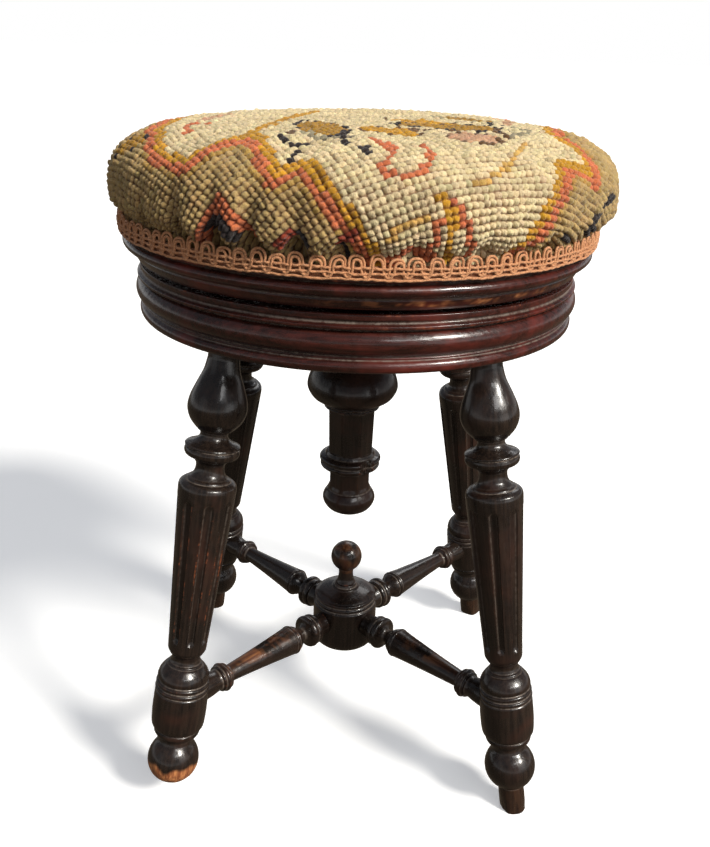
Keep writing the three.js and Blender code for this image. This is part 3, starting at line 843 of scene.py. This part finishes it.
# Lines of stitches: wool, width in stitches, whether it is worked again half way round, and its corners.
LINES = [
    ("gold", 1.5, False, [(-26, 15), (-19, 7), (-11, -3), (-3, -12)]),
    ("straw", 0.8, True, [(-5, 40), (-1, 38.6), (3, 36), (6, 33), (10, 29)]),
    ("straw", 0.8, True, [(-19, 43.4), (-16, 42.6), (-12, 42.2)]),
    ("coral", 1, True, [(-13.4, 50), (-12, 46.6), (-11, 43.4)]),
    ("coral", 1.1, True, [(-8.6, 41.8), (-7.2, 43.6), (-6.5, 46.6), (-4.8, 50.5)]),
    ("gold", 1.2, True, [(-10, 40.8), (-9, 43), (-9.4, 47), (-9, 51)]),
    ("coral", 1.6, True, [(-20, 48.5), (-16, 47), (-12, 49)]),
    ("coral", 0.9, True, [(-12.8, 24), (-12, 28), (-12, 31), (-14, 33), (-16, 34), (-15, 35.6), (-12, 36.6),
                          (-9.6, 35.6), (-8, 33.6), (-7.6, 31)]),
    ("coral", 1.8, True, [(-45, 24.6), (-36.4, 24.6), (-36.4, 33)]),
    ("black", 1.6, True, [(-42.4, 26.4), (-38.2, 26.4), (-38.2, 30.4)]),
    ("rust", 2, True, [(-33.4, 35.6), (-30.4, 36.4)]),
    # Black stitches where a gather's recess lies in shade: a painted shadow.
    ("black", 1.2, True, [(-29.4, 37), (-30.4, 39)]),
    ("rust", 1.6, True, [(-25.6, 41.6), (-22.4, 40.4)]),
    # Black stitches where a gather's recess lies in shade: a painted shadow.
    ("black", 1, True, [(-25.5, 43), (-25, 45)]),
    ("black", 0.9, True, [(27.6, 34.6), (25, 36.4), (23, 40), (20.8, 41.6)]),
    ("black", 1, True, [(25, 42.8), (20.6, 43)]),
    ("black", 1.2, True, [(19.5, 46.2), (14, 46.8)]),
    ("coral", 1.1, True, [(-31, 6), (-30, 2), (-27.5, -1), (-26, 2)]),
    ("pink", 1.4, True, [(-26, -4), (-22, -8), (-19, -12)]),
    ("black", 0.8, True, [(-22.6, 20.4), (-22.4, 18.6)]),
    ("brown", 0.8, True, [(-20.6, 17.6), (-19.4, 15.4)]),
    ("black", 0.8, True, [(-22.4, 22.4), (-20, 22.8)]),
    ("black", 0.8, True, [(-17.4, 22.6), (-14, 23.4)]),
    ("grey", 0.8, True, [(-19, 16), (-17.6, 18), (-19, 20.4), (-16.4, 23), (-13.4, 22)]),
    ("black", 1, True, [(-24.4, 26.2), (-22.4, 24.6)]),
    ("black", 1, True, [(-16.4, 25.4), (-16, 27)]),
    ("black", 1, True, [(-15, 28.4), (-15.6, 30)]),
    ("brown", 0.9, False, [(9, 26.4), (10, 22), (11.6, 19.4)]),
    ("black", 0.8, False, [(13.4, 15.6), (17, 10)]),
    ("grey", 0.9, False, [(9.4, 26), (14, 23.6), (17.4, 20.6), (16, 17)]),
    ("brown", 0.9, False, [(-3.6, 19.4), (-1, 20.6)]),
    ("brown", 0.8, False, [(2.4, 22), (8.4, 21)]),
]

# Leaves: wool, wool of the outline, whether it is worked again, middle, half length, half width and lean.
LEAVES = [
    ("ochre", "black", False, (-14.4, 14), 8, 3, 78),
    ("gold", "brown", False, (-7, 20.4), 4.4, 2.8, 120),
    ("ochre", "black", False, (5.2, 16.6), 7.4, 4.2, 150),
    ("gold", "brown", False, (4.6, 9.6), 5.4, 2.6, 118),
    ("pink", "brown", False, (3, 26.8), 3.9, 3.2, 20),
    ("cream", "black", False, (13.6, 14.6), 5, 2.2, 120),
    ("ochre", "grey", False, (16, 4.6), 5, 2.4, 120),
    ("ochre", "black", True, (-37.6, -4), 4, 2.4, 100),
]


def distance_to(points, u, w):
    """How far each place of the canvas is from a line through the given corners, in stitches."""
    nearest = np.full(u.shape, 1e9)
    for (u0, w0), (u1, w1) in zip(points, points[1:]):
        du, dw = u1 - u0, w1 - w0
        t = unit(((u - u0) * du + (w - w0) * dw) / (du * du + dw * dw))
        nearest = np.minimum(nearest, np.hypot(u - u0 - t * du, w - w0 - t * dw))
    return nearest


def inside_of(points, u, w):
    """Whether each place of the canvas is inside the closed line through the given corners."""
    inside = np.zeros(u.shape, bool)
    for (u0, w0), (u1, w1) in zip(points, [*points[1:], points[0]]):
        if w0 == w1:
            continue
        crosses = ((w0 > w) != (w1 > w)) & (u < u0 + (u1 - u0) * (w - w0) / (w1 - w0))
        inside ^= crosses
    return inside


def needlepoint_chart(reach):
    """The colour of every stitch, as a square of linear colours. reach is in stitches from the middle."""
    random = np.random.default_rng(3)
    middle = np.arange(-reach, reach) + 0.5
    w, u = np.meshgrid(middle, middle, indexing="ij")
    broken = (np.round(u + 2 * w) % 3 > 0)
    border = BORDER + [(-a, -b) for a, b in BORDER]
    inside = inside_of(border, u, w)
    chart = np.where(inside, "cream", "drab")
    gap = distance_to([*border, border[0]], u, w)
    chart[inside & (gap < 1.6)] = "gold"
    chart[~inside & (gap < 2.4)] = "olive"
    chart[~inside & (gap < 1.6)] = "coral"
    for wool_name, outline, again, (u0, w0), length, width, lean in LEAVES:
        for side in (1, -1) if again else (1,):
            c, s = math.cos(math.radians(lean)), math.sin(math.radians(lean))
            along = (side * u - u0) * c - (side * w - w0) * s
            across = (side * u - u0) * s + (side * w - w0) * c
            size = np.hypot(along / length, across / width)
            chart[(size < 1.2) & broken] = outline
            chart[size < 1 - 0.08 * np.cos(along * 2.4)] = wool_name
    for wool_name, width, again, points in LINES:
        for side in (1, -1) if again else (1,):
            chart[distance_to(points, side * u, side * w) < width / 2 + 0.1] = wool_name
    colours = np.zeros((*chart.shape, 4))
    for wool_name, colour in WOOLS.items():
        colours[chart == wool_name] = linear(*colour)
    row_shade = 1 + 0.05 * random.normal(size=(len(middle), 1, 1))
    colours[..., :3] *= row_shade * (1 + 0.09 * random.normal(size=(*chart.shape, 1)))
    colours[..., :3] *= 1 + 0.02 * random.normal(size=(*chart.shape, 3))
    return unit(colours)


def cushion_side(inset):
    """The crowned top and drawn-in side of the pad, from the axis down to its foot."""
    slope = np.linspace(math.pi / 2, 0, SIDE_START)
    radius = (CUSHION_RADIUS - inset) * np.cos(slope) ** 0.46
    height = WIDEST_CUSHION + (CUSHION_TOP - WIDEST_CUSHION - inset) * np.sin(slope) ** 0.625
    radius[0] = 0
    down = np.linspace(0, 1, 60)[1:]
    drawn = (CUSHION_RADIUS - COVER_FOOT_RADIUS) * down**2
    radius = np.concatenate([radius, CUSHION_RADIUS - inset - drawn])
    height = np.concatenate([height, WIDEST_CUSHION - (WIDEST_CUSHION - BRAID_TOP) * down])
    return np.append(radius, COVER_FOOT_RADIUS - inset), np.append(height, CUSHION_FOOT)


def from_gather(angle, where):
    """Degrees round from a gather to each angle, from -180 to 180."""
    return (np.degrees(angle) + 90 - where + 180) % 360 - 180


def drawn_in(angle):
    """How deep the cover is drawn in at each angle."""
    return sum(depth * bell(from_gather(angle, where), DENT_WIDTH) for where, depth in GATHERS)


def dented(radius, angle, height):
    """The side of the pad, pressed in under each gather of the cover."""
    low = unit((DENT_TOP - height) / (DENT_TOP - BRAID_TOP)) * (radius > CUSHION_RADIUS / 2)
    return radius - DENT * low * drawn_in(angle)


def stuffed_pad():
    """The pad under the cover, pumped up between the gathers by cloth simulation, from a smaller shape."""
    radius, height = cushion_side(PAD_INSET)
    top_rows = np.arange(0, SIDE_START, 30)
    side_rows = np.arange(SIDE_START - 1, len(radius), 8)
    keep = np.unique(np.concatenate([top_rows, side_rows, [len(radius) - 1]]))
    outline = [(0, CUSHION_FOOT), *zip(radius[keep][::-1], height[keep][::-1])]
    pad = turned("stuffing", outline, leg_wood, sides=240, shape=dented, soft=0, step=5)
    remesh = pad.modifiers.new("Remesh", "REMESH")
    remesh.mode = "VOXEL"
    remesh.voxel_size = PAD_VOXEL * MM
    bake_modifiers(pad)
    held = pad.vertex_groups.new(name="held")
    start = np.array([v.co for v in pad.data.vertices])
    x, y, z = start.T / MM
    sewn_down = drawn_in(np.arctan2(y, x)) > 1.4
    sewn_down &= (z < BRAID_TOP + 12) & (np.hypot(x, y) > CUSHION_RADIUS / 2)
    sewn_down |= z < BRAID_TOP - 2
    held.add(np.nonzero(sewn_down)[0].tolist(), 1, "REPLACE")
    cloth = pad.modifiers.new("Cloth", "CLOTH")
    cloth.settings.vertex_group_mass = "held"
    cloth.settings.use_pressure = True
    cloth.settings.uniform_pressure_force = PAD_PRESSURE
    cloth.settings.shrink_min = -0.02
    cloth.settings.effector_weights.gravity = 0
    cloth.point_cache.frame_end = PAD_FRAMES
    for number in range(1, PAD_FRAMES + 1):
        bpy.context.scene.frame_set(number)
    bake_modifiers(pad)
    bpy.context.scene.frame_set(1)
    moved = np.array([v.co for v in pad.data.vertices]) - start
    far = np.linalg.norm(moved, axis=1)
    share = np.minimum(1, PAD_SWELL * MM / np.maximum(far, 1e-9))
    pad.data.vertices.foreach_set("co", (start + moved * share[:, None]).ravel())
    smooth = pad.modifiers.new("Subdivision", "SUBSURF")
    smooth.levels = 1
    bake_modifiers(pad)
    return pad


def bake_modifiers(piece):
    """Replaces a piece's mesh with the one that its modifiers make, and removes them."""
    bpy.context.view_layer.update()
    made = bpy.data.meshes.new_from_object(piece.evaluated_get(bpy.context.evaluated_depsgraph_get()))
    piece.modifiers.clear()
    piece.data = made


def pad_lift(path, radius, height, out):
    """How far the stuffed pad stands proud of its mean outline, for rows down its side and columns round.

    The pad is measured by rays and then removed: the cover is laid over what they find.
    """
    rows = np.linspace(0, path[-1], 64)
    columns = np.linspace(-math.pi, math.pi, 289)
    pad = stuffed_pad()
    tree = BVHTree.FromObject(pad, bpy.context.evaluated_depsgraph_get())
    lift = np.zeros((len(rows), len(columns)))
    for i, row in enumerate(rows):
        r, z = np.interp(row, path, radius), np.interp(row, path, height)
        normal = np.array([np.interp(row, path, out[0]), np.interp(row, path, out[1])])
        normal /= np.hypot(*normal)
        for j, angle in enumerate(columns):
            facing = Vector((normal[0] * math.cos(angle), normal[0] * math.sin(angle), normal[1]))
            point = Vector((r * math.cos(angle), r * math.sin(angle), z)) * MM
            hit = tree.ray_cast(point + facing * RAY_START * MM, -facing, 2 * RAY_START * MM)
            if hit[0]:
                lift[i, j] = RAY_START - hit[3] / MM
    bpy.data.objects.remove(pad)
    lift = PAD_SHARE * (lift - lift.mean(axis=1, keepdims=True))
    return rows, columns, np.clip(lift, -PAD_MOST_IN, PAD_MOST_OUT)


# Where the cover is gathered in at its foot: degrees round from the front, towards the right, and depth.
GATHERS = [
    (-66, 1.6), (-51, 2.2), (-39, 3.0), (-30, 3.6), (-21.5, 3.8), (-13, 3.0), (-4, 1.2), (10, 0.8), (24, 1.4),
    (41, 1.8), (58, 1.6), (77, 2.2), (94, 1.7), (112, 2.4), (131, 1.8), (149, 2.6), (168, 2.0), (-175, 2.4),
    (-156, 1.9), (-137, 2.5), (-118, 2.0), (-99, 2.5), (-82, 1.9),
]


def gathered(along, angle, foot):
    """How far the cover sinks into its gathers, which fade out up the side of the cushion."""
    sink = np.zeros(along.shape)
    lip = unit((foot - 13 - along) / 4)
    for where, depth in GATHERS:
        off = from_gather(angle, where)
        wander = 0.9 * np.sin(along / 9 + where)
        climb = unit((along - (foot - 56 - 4 * depth)) / 44) ** 1.5
        crease = bell(off + wander, 1.9)
        crease -= 0.72 * lip * bell(off + wander, 5.2)
        pocket = bell(off, 1.1 + 0.28 * depth)
        pocket *= unit((along - (foot - 40)) / 26) ** 1.4
        sink += depth * (1.4 * climb * crease + 2.3 * pocket)
    return sink


def smooth_grid(rows, columns, values, row, column):
    """Values of a table at places between its rows and columns."""
    i = np.clip(row / rows[-1] * (len(rows) - 1), 0, len(rows) - 1.001)
    j = np.clip((column + math.pi) / (2 * math.pi) * (len(columns) - 1), 0, len(columns) - 1.001)
    i0, j0 = i.astype(int), j.astype(int)
    a, b = i - i0, j - j0
    upper = values[i0, j0] * (1 - b) + values[i0, j0 + 1] * b
    lower = values[i0 + 1, j0] * (1 - b) + values[i0 + 1, j0 + 1] * b
    return upper * (1 - a) + lower * a


def round_canvas(foot, reach):
    """A round piece of the canvas as a grid: its places u and w, its cells' corners, rows and columns."""
    steps = np.arange(-reach * SAMPLES, reach * SAMPLES + 1)
    w, u = np.meshgrid(steps / SAMPLES, steps / SAMPLES, indexing="ij")
    span = np.hypot(u, w) * STITCH
    within = span <= foot
    used_cell = within[:-1, :-1] | within[1:, :-1] | within[:-1, 1:] | within[1:, 1:]
    number = np.arange(u.size).reshape(u.shape)
    corners = np.stack([number[:-1, :-1], number[1:, :-1], number[1:, 1:], number[:-1, 1:]], axis=-1)
    kept, quads = np.unique(corners[used_cell], return_inverse=True)
    return u.ravel()[kept], w.ravel()[kept], quads.reshape(-1, 4), np.nonzero(used_cell)


def stitches(u, w, reach):
    """How high the wool stands at each place of the canvas, about 0 to 1, and how far into a gap it is."""
    random = np.random.default_rng(11)
    plump = 1 + 0.16 * random.normal(size=(2 * reach + 1, 2 * reach + 1))
    lean_u = 0.3 * random.normal(size=plump.shape) + 0.25
    lean_w = 0.3 * random.normal(size=plump.shape) - 0.15
    stitch_u, stitch_w = np.floor(u + 1e-6).astype(int), np.floor(w + 1e-6).astype(int)
    a, b = 2 * (u - stitch_u) - 1, 2 * (w - stitch_w) - 1
    which = (stitch_w + reach, stitch_u + reach)
    off_u, off_w = 0.1 * random.normal(size=(2, *plump.shape))
    slant = a - 0.3 * b - off_u[which]
    pillow = np.sqrt(unit(1 - 0.74 * np.abs(slant) ** 2.4 - np.abs(b - off_w[which]) ** 2.2))
    return pillow * (plump[which] + 0.4 * (lean_u[which] * a + lean_w[which] * b)), 1 - pillow


def needlepoint_cover():
    """The cushion in its worked cover: a mesh in which every stitch is a small pillow."""
    radius, height = cushion_side(0)
    path = np.concatenate([[0], np.cumsum(np.hypot(np.diff(radius), np.diff(height)))])
    out = np.stack([-np.gradient(height, path), np.gradient(radius, path)])
    foot = path[-1]
    reach = math.ceil(foot / STITCH) + 1
    u, w, quads, (cell_row, cell_column) = round_canvas(foot, reach)

    pull = np.minimum(1, foot / (np.hypot(u, w) * STITCH + 1e-9))
    sway_u = 0.16 * drift(u / 6, w / 6, 21) + 0.07 * drift(u * 1.1, w * 1.1, 22)
    sway_w = 0.16 * drift(u / 6, w / 6, 23) + 0.07 * drift(u * 1.1, w * 1.1, 24)
    fade = (pull >= 1) * unit((foot - np.hypot(u, w) * STITCH) / 15)
    laid_u, laid_w = u * pull + sway_u * fade, w * pull + sway_w * fade
    x = laid_u * math.cos(CANVAS_TURN) + laid_w * math.sin(CANVAS_TURN)
    y = laid_u * math.sin(CANVAS_TURN) - laid_w * math.cos(CANVAS_TURN)
    along, angle = np.hypot(x, y) * STITCH, np.arctan2(y, x)
    along = np.minimum(along, foot)

    pillow, pit = stitches(u, w, reach)
    rows, columns, lift = pad_lift(path, radius, height, out)
    stand = smooth_grid(rows, columns, lift, along, angle) * unit((foot - 12 - along) / 5)
    stand += STITCH_RISE * (pillow - 0.75) - gathered(along, angle, foot)
    bumps = 0.5 * drift(x / 9, y / 9, 31) * unit((foot - 20 - along) / 30)
    stand += bumps - SLUMP * unit(-x * STITCH / CUSHION_RADIUS)
    out_r, out_z = np.interp(along, path, out[0]), np.interp(along, path, out[1])
    size = np.hypot(out_r, out_z)
    r = np.interp(along, path, radius) + stand * out_r / size
    z = np.maximum(np.interp(along, path, height) + stand * out_z / size, CUSHION_FOOT)
    lean = CUSHION_LEAN * unit((z - BRAID_TOP) / 12)
    vertices = np.stack([r * np.cos(angle) + lean, r * np.sin(angle), z], axis=1)

    rim = np.nonzero(np.hypot(u, w) * STITCH > foot)[0]
    rim = rim[np.argsort(angle[rim])]
    centre = len(vertices)
    vertices = np.vstack([vertices, [[0, 0, CUSHION_FOOT]]])
    fan = [(centre, int(rim[(k + 1) % len(rim)]), int(rim[k])) for k in range(len(rim))]
    # The gap number darkens the wool's colour in the gaps between stitches: painted shade and dirt.
    piece = make_object(
        "needlepoint_cushion", vertices, quads.tolist() + fan, wool_look, sharp=180, pit=np.append(pit, 1))

    chart = needlepoint_chart(reach)
    shade = np.full((len(quads) * 4 + len(fan) * 3, 4), 1.0)
    shade[: len(quads) * 4] = np.repeat(chart[cell_row // SAMPLES, cell_column // SAMPLES], 4, axis=0)
    shade[len(quads) * 4:] = linear(*WOOLS["drab"])
    colour = piece.data.attributes.new("colour", "FLOAT_COLOR", "CORNER")
    colour.data.foreach_set("color", shade.astype(np.float32).ravel())
    return piece


# ---- gimp braid

def round_braid(radius, angle, height):
    return np.stack([radius * np.cos(angle), radius * np.sin(angle), height + 0 * angle], axis=-1)


def gimp_band():
    """The flat woven foot of the braid: fine cords laid side by side."""
    columns = SCROLLS * 16
    angle = np.arange(columns) * 2 * math.pi / columns
    rows = []
    for k in range(BAND_CORDS * 6 + 1):
        t = k / 6
        bulge = abs(math.sin(math.pi * t))
        twist = 0.3 * np.sin(angle * SCROLLS * 4 + (1 if int(t) % 2 else -1) * 2 * math.pi * t)
        radius = BAND_RADIUS + 0.9 + 0.8 * bulge + twist * bulge
        rows.append(round_braid(radius, angle, BAND_FOOT + BAND_HEIGHT * k / (BAND_CORDS * 6)))
    rows.append(round_braid(BAND_RADIUS, angle, BAND_FOOT + BAND_HEIGHT))
    rows.append(round_braid(BAND_RADIUS, angle, BAND_FOOT))
    return np.array(rows).reshape(-1, 3), sheet_faces(len(rows), columns, True)


def gimp_scrolls():
    """The cords over the band: two that rise side by side in narrow loops, and three that hold them."""
    parts = []
    steps = 30
    t = np.arange(SCROLLS * steps) / steps
    turn = 2 * math.pi * t
    uneven = 1 + 0.13 * drift(t * 1.9, t * 0.7, 41)
    for foot, rise, bulge, out in ((421.4, 12.8, 0.12, 170.6), (421.8, 10.3, -0.02, 171)):
        sway = 0.1 * drift(t * 0.8, t * 1.7, 42 + round(rise))
        angle = (t - bulge * np.sin(turn) + 0.07 * np.sin(2 * turn) + sway) * 2 * math.pi / SCROLLS
        height = foot + rise * uneven * unit((1.02 - np.cos(turn)) / 2) ** 0.7
        flare = 0.35 * np.sin(turn) - 0.6 * unit((height - 429) / 6)
        parts.append(tube(round_braid(out + flare, angle, height), 0.86, 2.2))
    turn = np.arange(SCROLLS * 12) * 2 * math.pi / (SCROLLS * 12)
    for level, push, weave in ((427.6, 1.7, 0.5), (424.6, 1.5, -0.5), (421.2, 1.3, 0.2)):
        radius = 169.6 + push + weave * np.cos(turn * SCROLLS * 2)
        wander = 0.4 * drift(turn * 60, turn * 90, round(level))
        parts.append(tube(round_braid(radius, turn, level + wander), 0.8, 1.8))
    return joined(parts)


# ---- the stool

steel = screw_steel()
wool_look = wool()
gimp_look = gimp_cotton()

finish_piece(frame_ring(), "frame", "stained_wood", "frame_ring")
finish_piece(seat_rim(), "seat", "stained_wood", "seat_rim")
finish_piece(screw_housing(), "frame", "stained_wood", "screw_housing", "housing_collar")
finish_piece(stretcher_hub(), "frame", "stained_wood", "stretcher_hub")
finial = hub_finial()
keep_number(finial, "bare", lambda x, y, z: (z > 126) * (0.06 + 0.1 * drift(x / 3, y / 3 + z / 4, 12)))
finish_piece(finial, "frame", "stained_wood", "hub_finial")
for name, leg in LEGS.items():
    finish_piece(turned_leg(name, leg), "frame", "stained_wood", f"{name}_leg")
    finish_piece(stretcher(name, leg), "frame", "stained_wood", f"{name}_stretcher")
finish_piece(seat_screw(), "seat", "screw_steel", "seat_screw")

cushion = needlepoint_cover()
finish_piece(cushion, "seat", "needlepoint", "needlepoint_cover", "stuffing_pad")
band = make_object("gimp_band", *gimp_band(), gimp_look)
keep_number(band, "grime", 0.6)
finish_piece(band, "seat", "gimp", "gimp_braid")
scrolls = make_object("gimp_scrolls", *gimp_scrolls(), gimp_look)
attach(scrolls, "seat")

carried = {"plain_wood": plain_wood(), "cast_iron": cast_iron(), "screw_steel": steel}
for part in frame["record"]["subparts"]:
    look = carried.get(part["material_slot"])
    if look:
        frame["nodes"][part["node"]].data.materials.clear()
        frame["nodes"][part["node"]].data.materials.append(look)


# ---- stage, lights and camera

def floor():
    look = Look("floor", Specular_IOR_Level=0.0, Emission_Strength=0.3)
    uneven = look.spread(look.noise(3, detail=2), 0.3, 0.7)
    look.surface(Base_Color=look.mix(uneven, (0.92, 0.92, 0.92, 1), (0.94, 0.94, 0.94, 1)), Roughness=1.0)
    size = 60000
    corners = [(-size, -size, 0), (size, -size, 0), (size, size, 0), (-size, size, 0)]
    piece = make_object("studio_floor", corners, [(0, 1, 2, 3)], look.material)
    piece.visible_glossy = False
    piece.visible_diffuse = False


def lamp(name, kind, place, power, **settings):
    """A light that faces the middle of the stool."""
    data = bpy.data.lights.new(name, kind)
    data.energy = power
    for key, value in settings.items():
        setattr(data, key, value)
    light = bpy.data.objects.new(name, data)
    light.location = place
    light.rotation_euler = (Vector((0, 0, 0.3)) - Vector(place)).to_track_quat("-Z", "Y").to_euler()
    bpy.context.scene.collection.objects.link(light)


def studio():
    """A white backdrop, a surround that is bright at the horizon, a key light and weaker lamps."""
    world = bpy.data.worlds.new("studio")
    bpy.context.scene.world = world
    world.use_nodes = True
    nodes = Nodes(world.node_tree)
    split = nodes.node("SeparateXYZ")
    nodes.feed(split.inputs[0], nodes.node("TexCoord").outputs["Generated"])
    upness = nodes.node("MapRange")
    upness.inputs["From Min"].default_value = -1
    nodes.feed(upness.inputs["Value"], split.outputs["Z"])
    shade = nodes.node("ValToRGB")
    nodes.feed(shade.inputs[0], upness.outputs[0])
    seen = nodes.node("LightPath").outputs["Is Camera Ray"]
    backdrop = nodes.mix(seen, shade.outputs[0], (1, 1, 1, 1))
    nodes.feed(world.node_tree.nodes["Background"].inputs["Color"], backdrop)
    levels = (
        (0.0, (0.13, 0.1, 0.07)), (0.465, (0.14, 0.11, 0.08)), (0.485, (0.8, 0.8, 0.8)),
        (0.53, (0.8, 0.8, 0.8)), (0.6, (0.15, 0.16, 0.18)), (1.0, (0.2, 0.22, 0.26)),
    )
    for place, colour in levels[2:]:
        shade.color_ramp.elements.new(place)
    for element, (place, colour) in zip(shade.color_ramp.elements, levels):
        element.position = place
        element.color = (*colour, 1)
    lamp("key", "SUN", (1.15, -0.86, 1.46), 4.1, angle=math.radians(14), color=(1, 0.96, 0.88))
    for name, place, power, width, height in (
        ("fill", (-1.7, -1.3, 0.9), 0.8, 1.2, 0.9),
        ("strip", (1.2, -1.6, 1.6), 13, 1.7, 0.3),
        ("front", (1.15, -1, 0.45), 1.5, 0.9, 0.5),
        ("back", (0.5, 1.7, 1.5), 8, 1.2, 0.7),
    ):
        lamp(name, "AREA", place, power, shape="RECTANGLE", size=width, size_y=height)


def camera():
    yaw, pitch, roll = math.radians(1.2348), math.radians(22.4348), math.radians(2.1506)
    ahead = Vector((math.sin(yaw) * math.cos(pitch), math.cos(yaw) * math.cos(pitch), -math.sin(pitch)))
    level = Vector((math.cos(yaw), -math.sin(yaw), 0))
    up = level.cross(ahead)
    right = math.cos(roll) * level + math.sin(roll) * up
    over = -math.sin(roll) * level + math.cos(roll) * up
    data = bpy.data.cameras.new("camera")
    data.lens = 39.03
    data.sensor_width = 36
    made = bpy.data.objects.new("camera", data)
    made.matrix_world = Matrix((right, over, -ahead)).transposed().to_4x4()
    made.location = (-0.01167, -0.68032, 0.54388)
    bpy.context.scene.collection.objects.link(made)
    bpy.context.scene.camera = made


floor()
studio()
camera()
bpy.context.scene.view_settings.view_transform = "Standard"
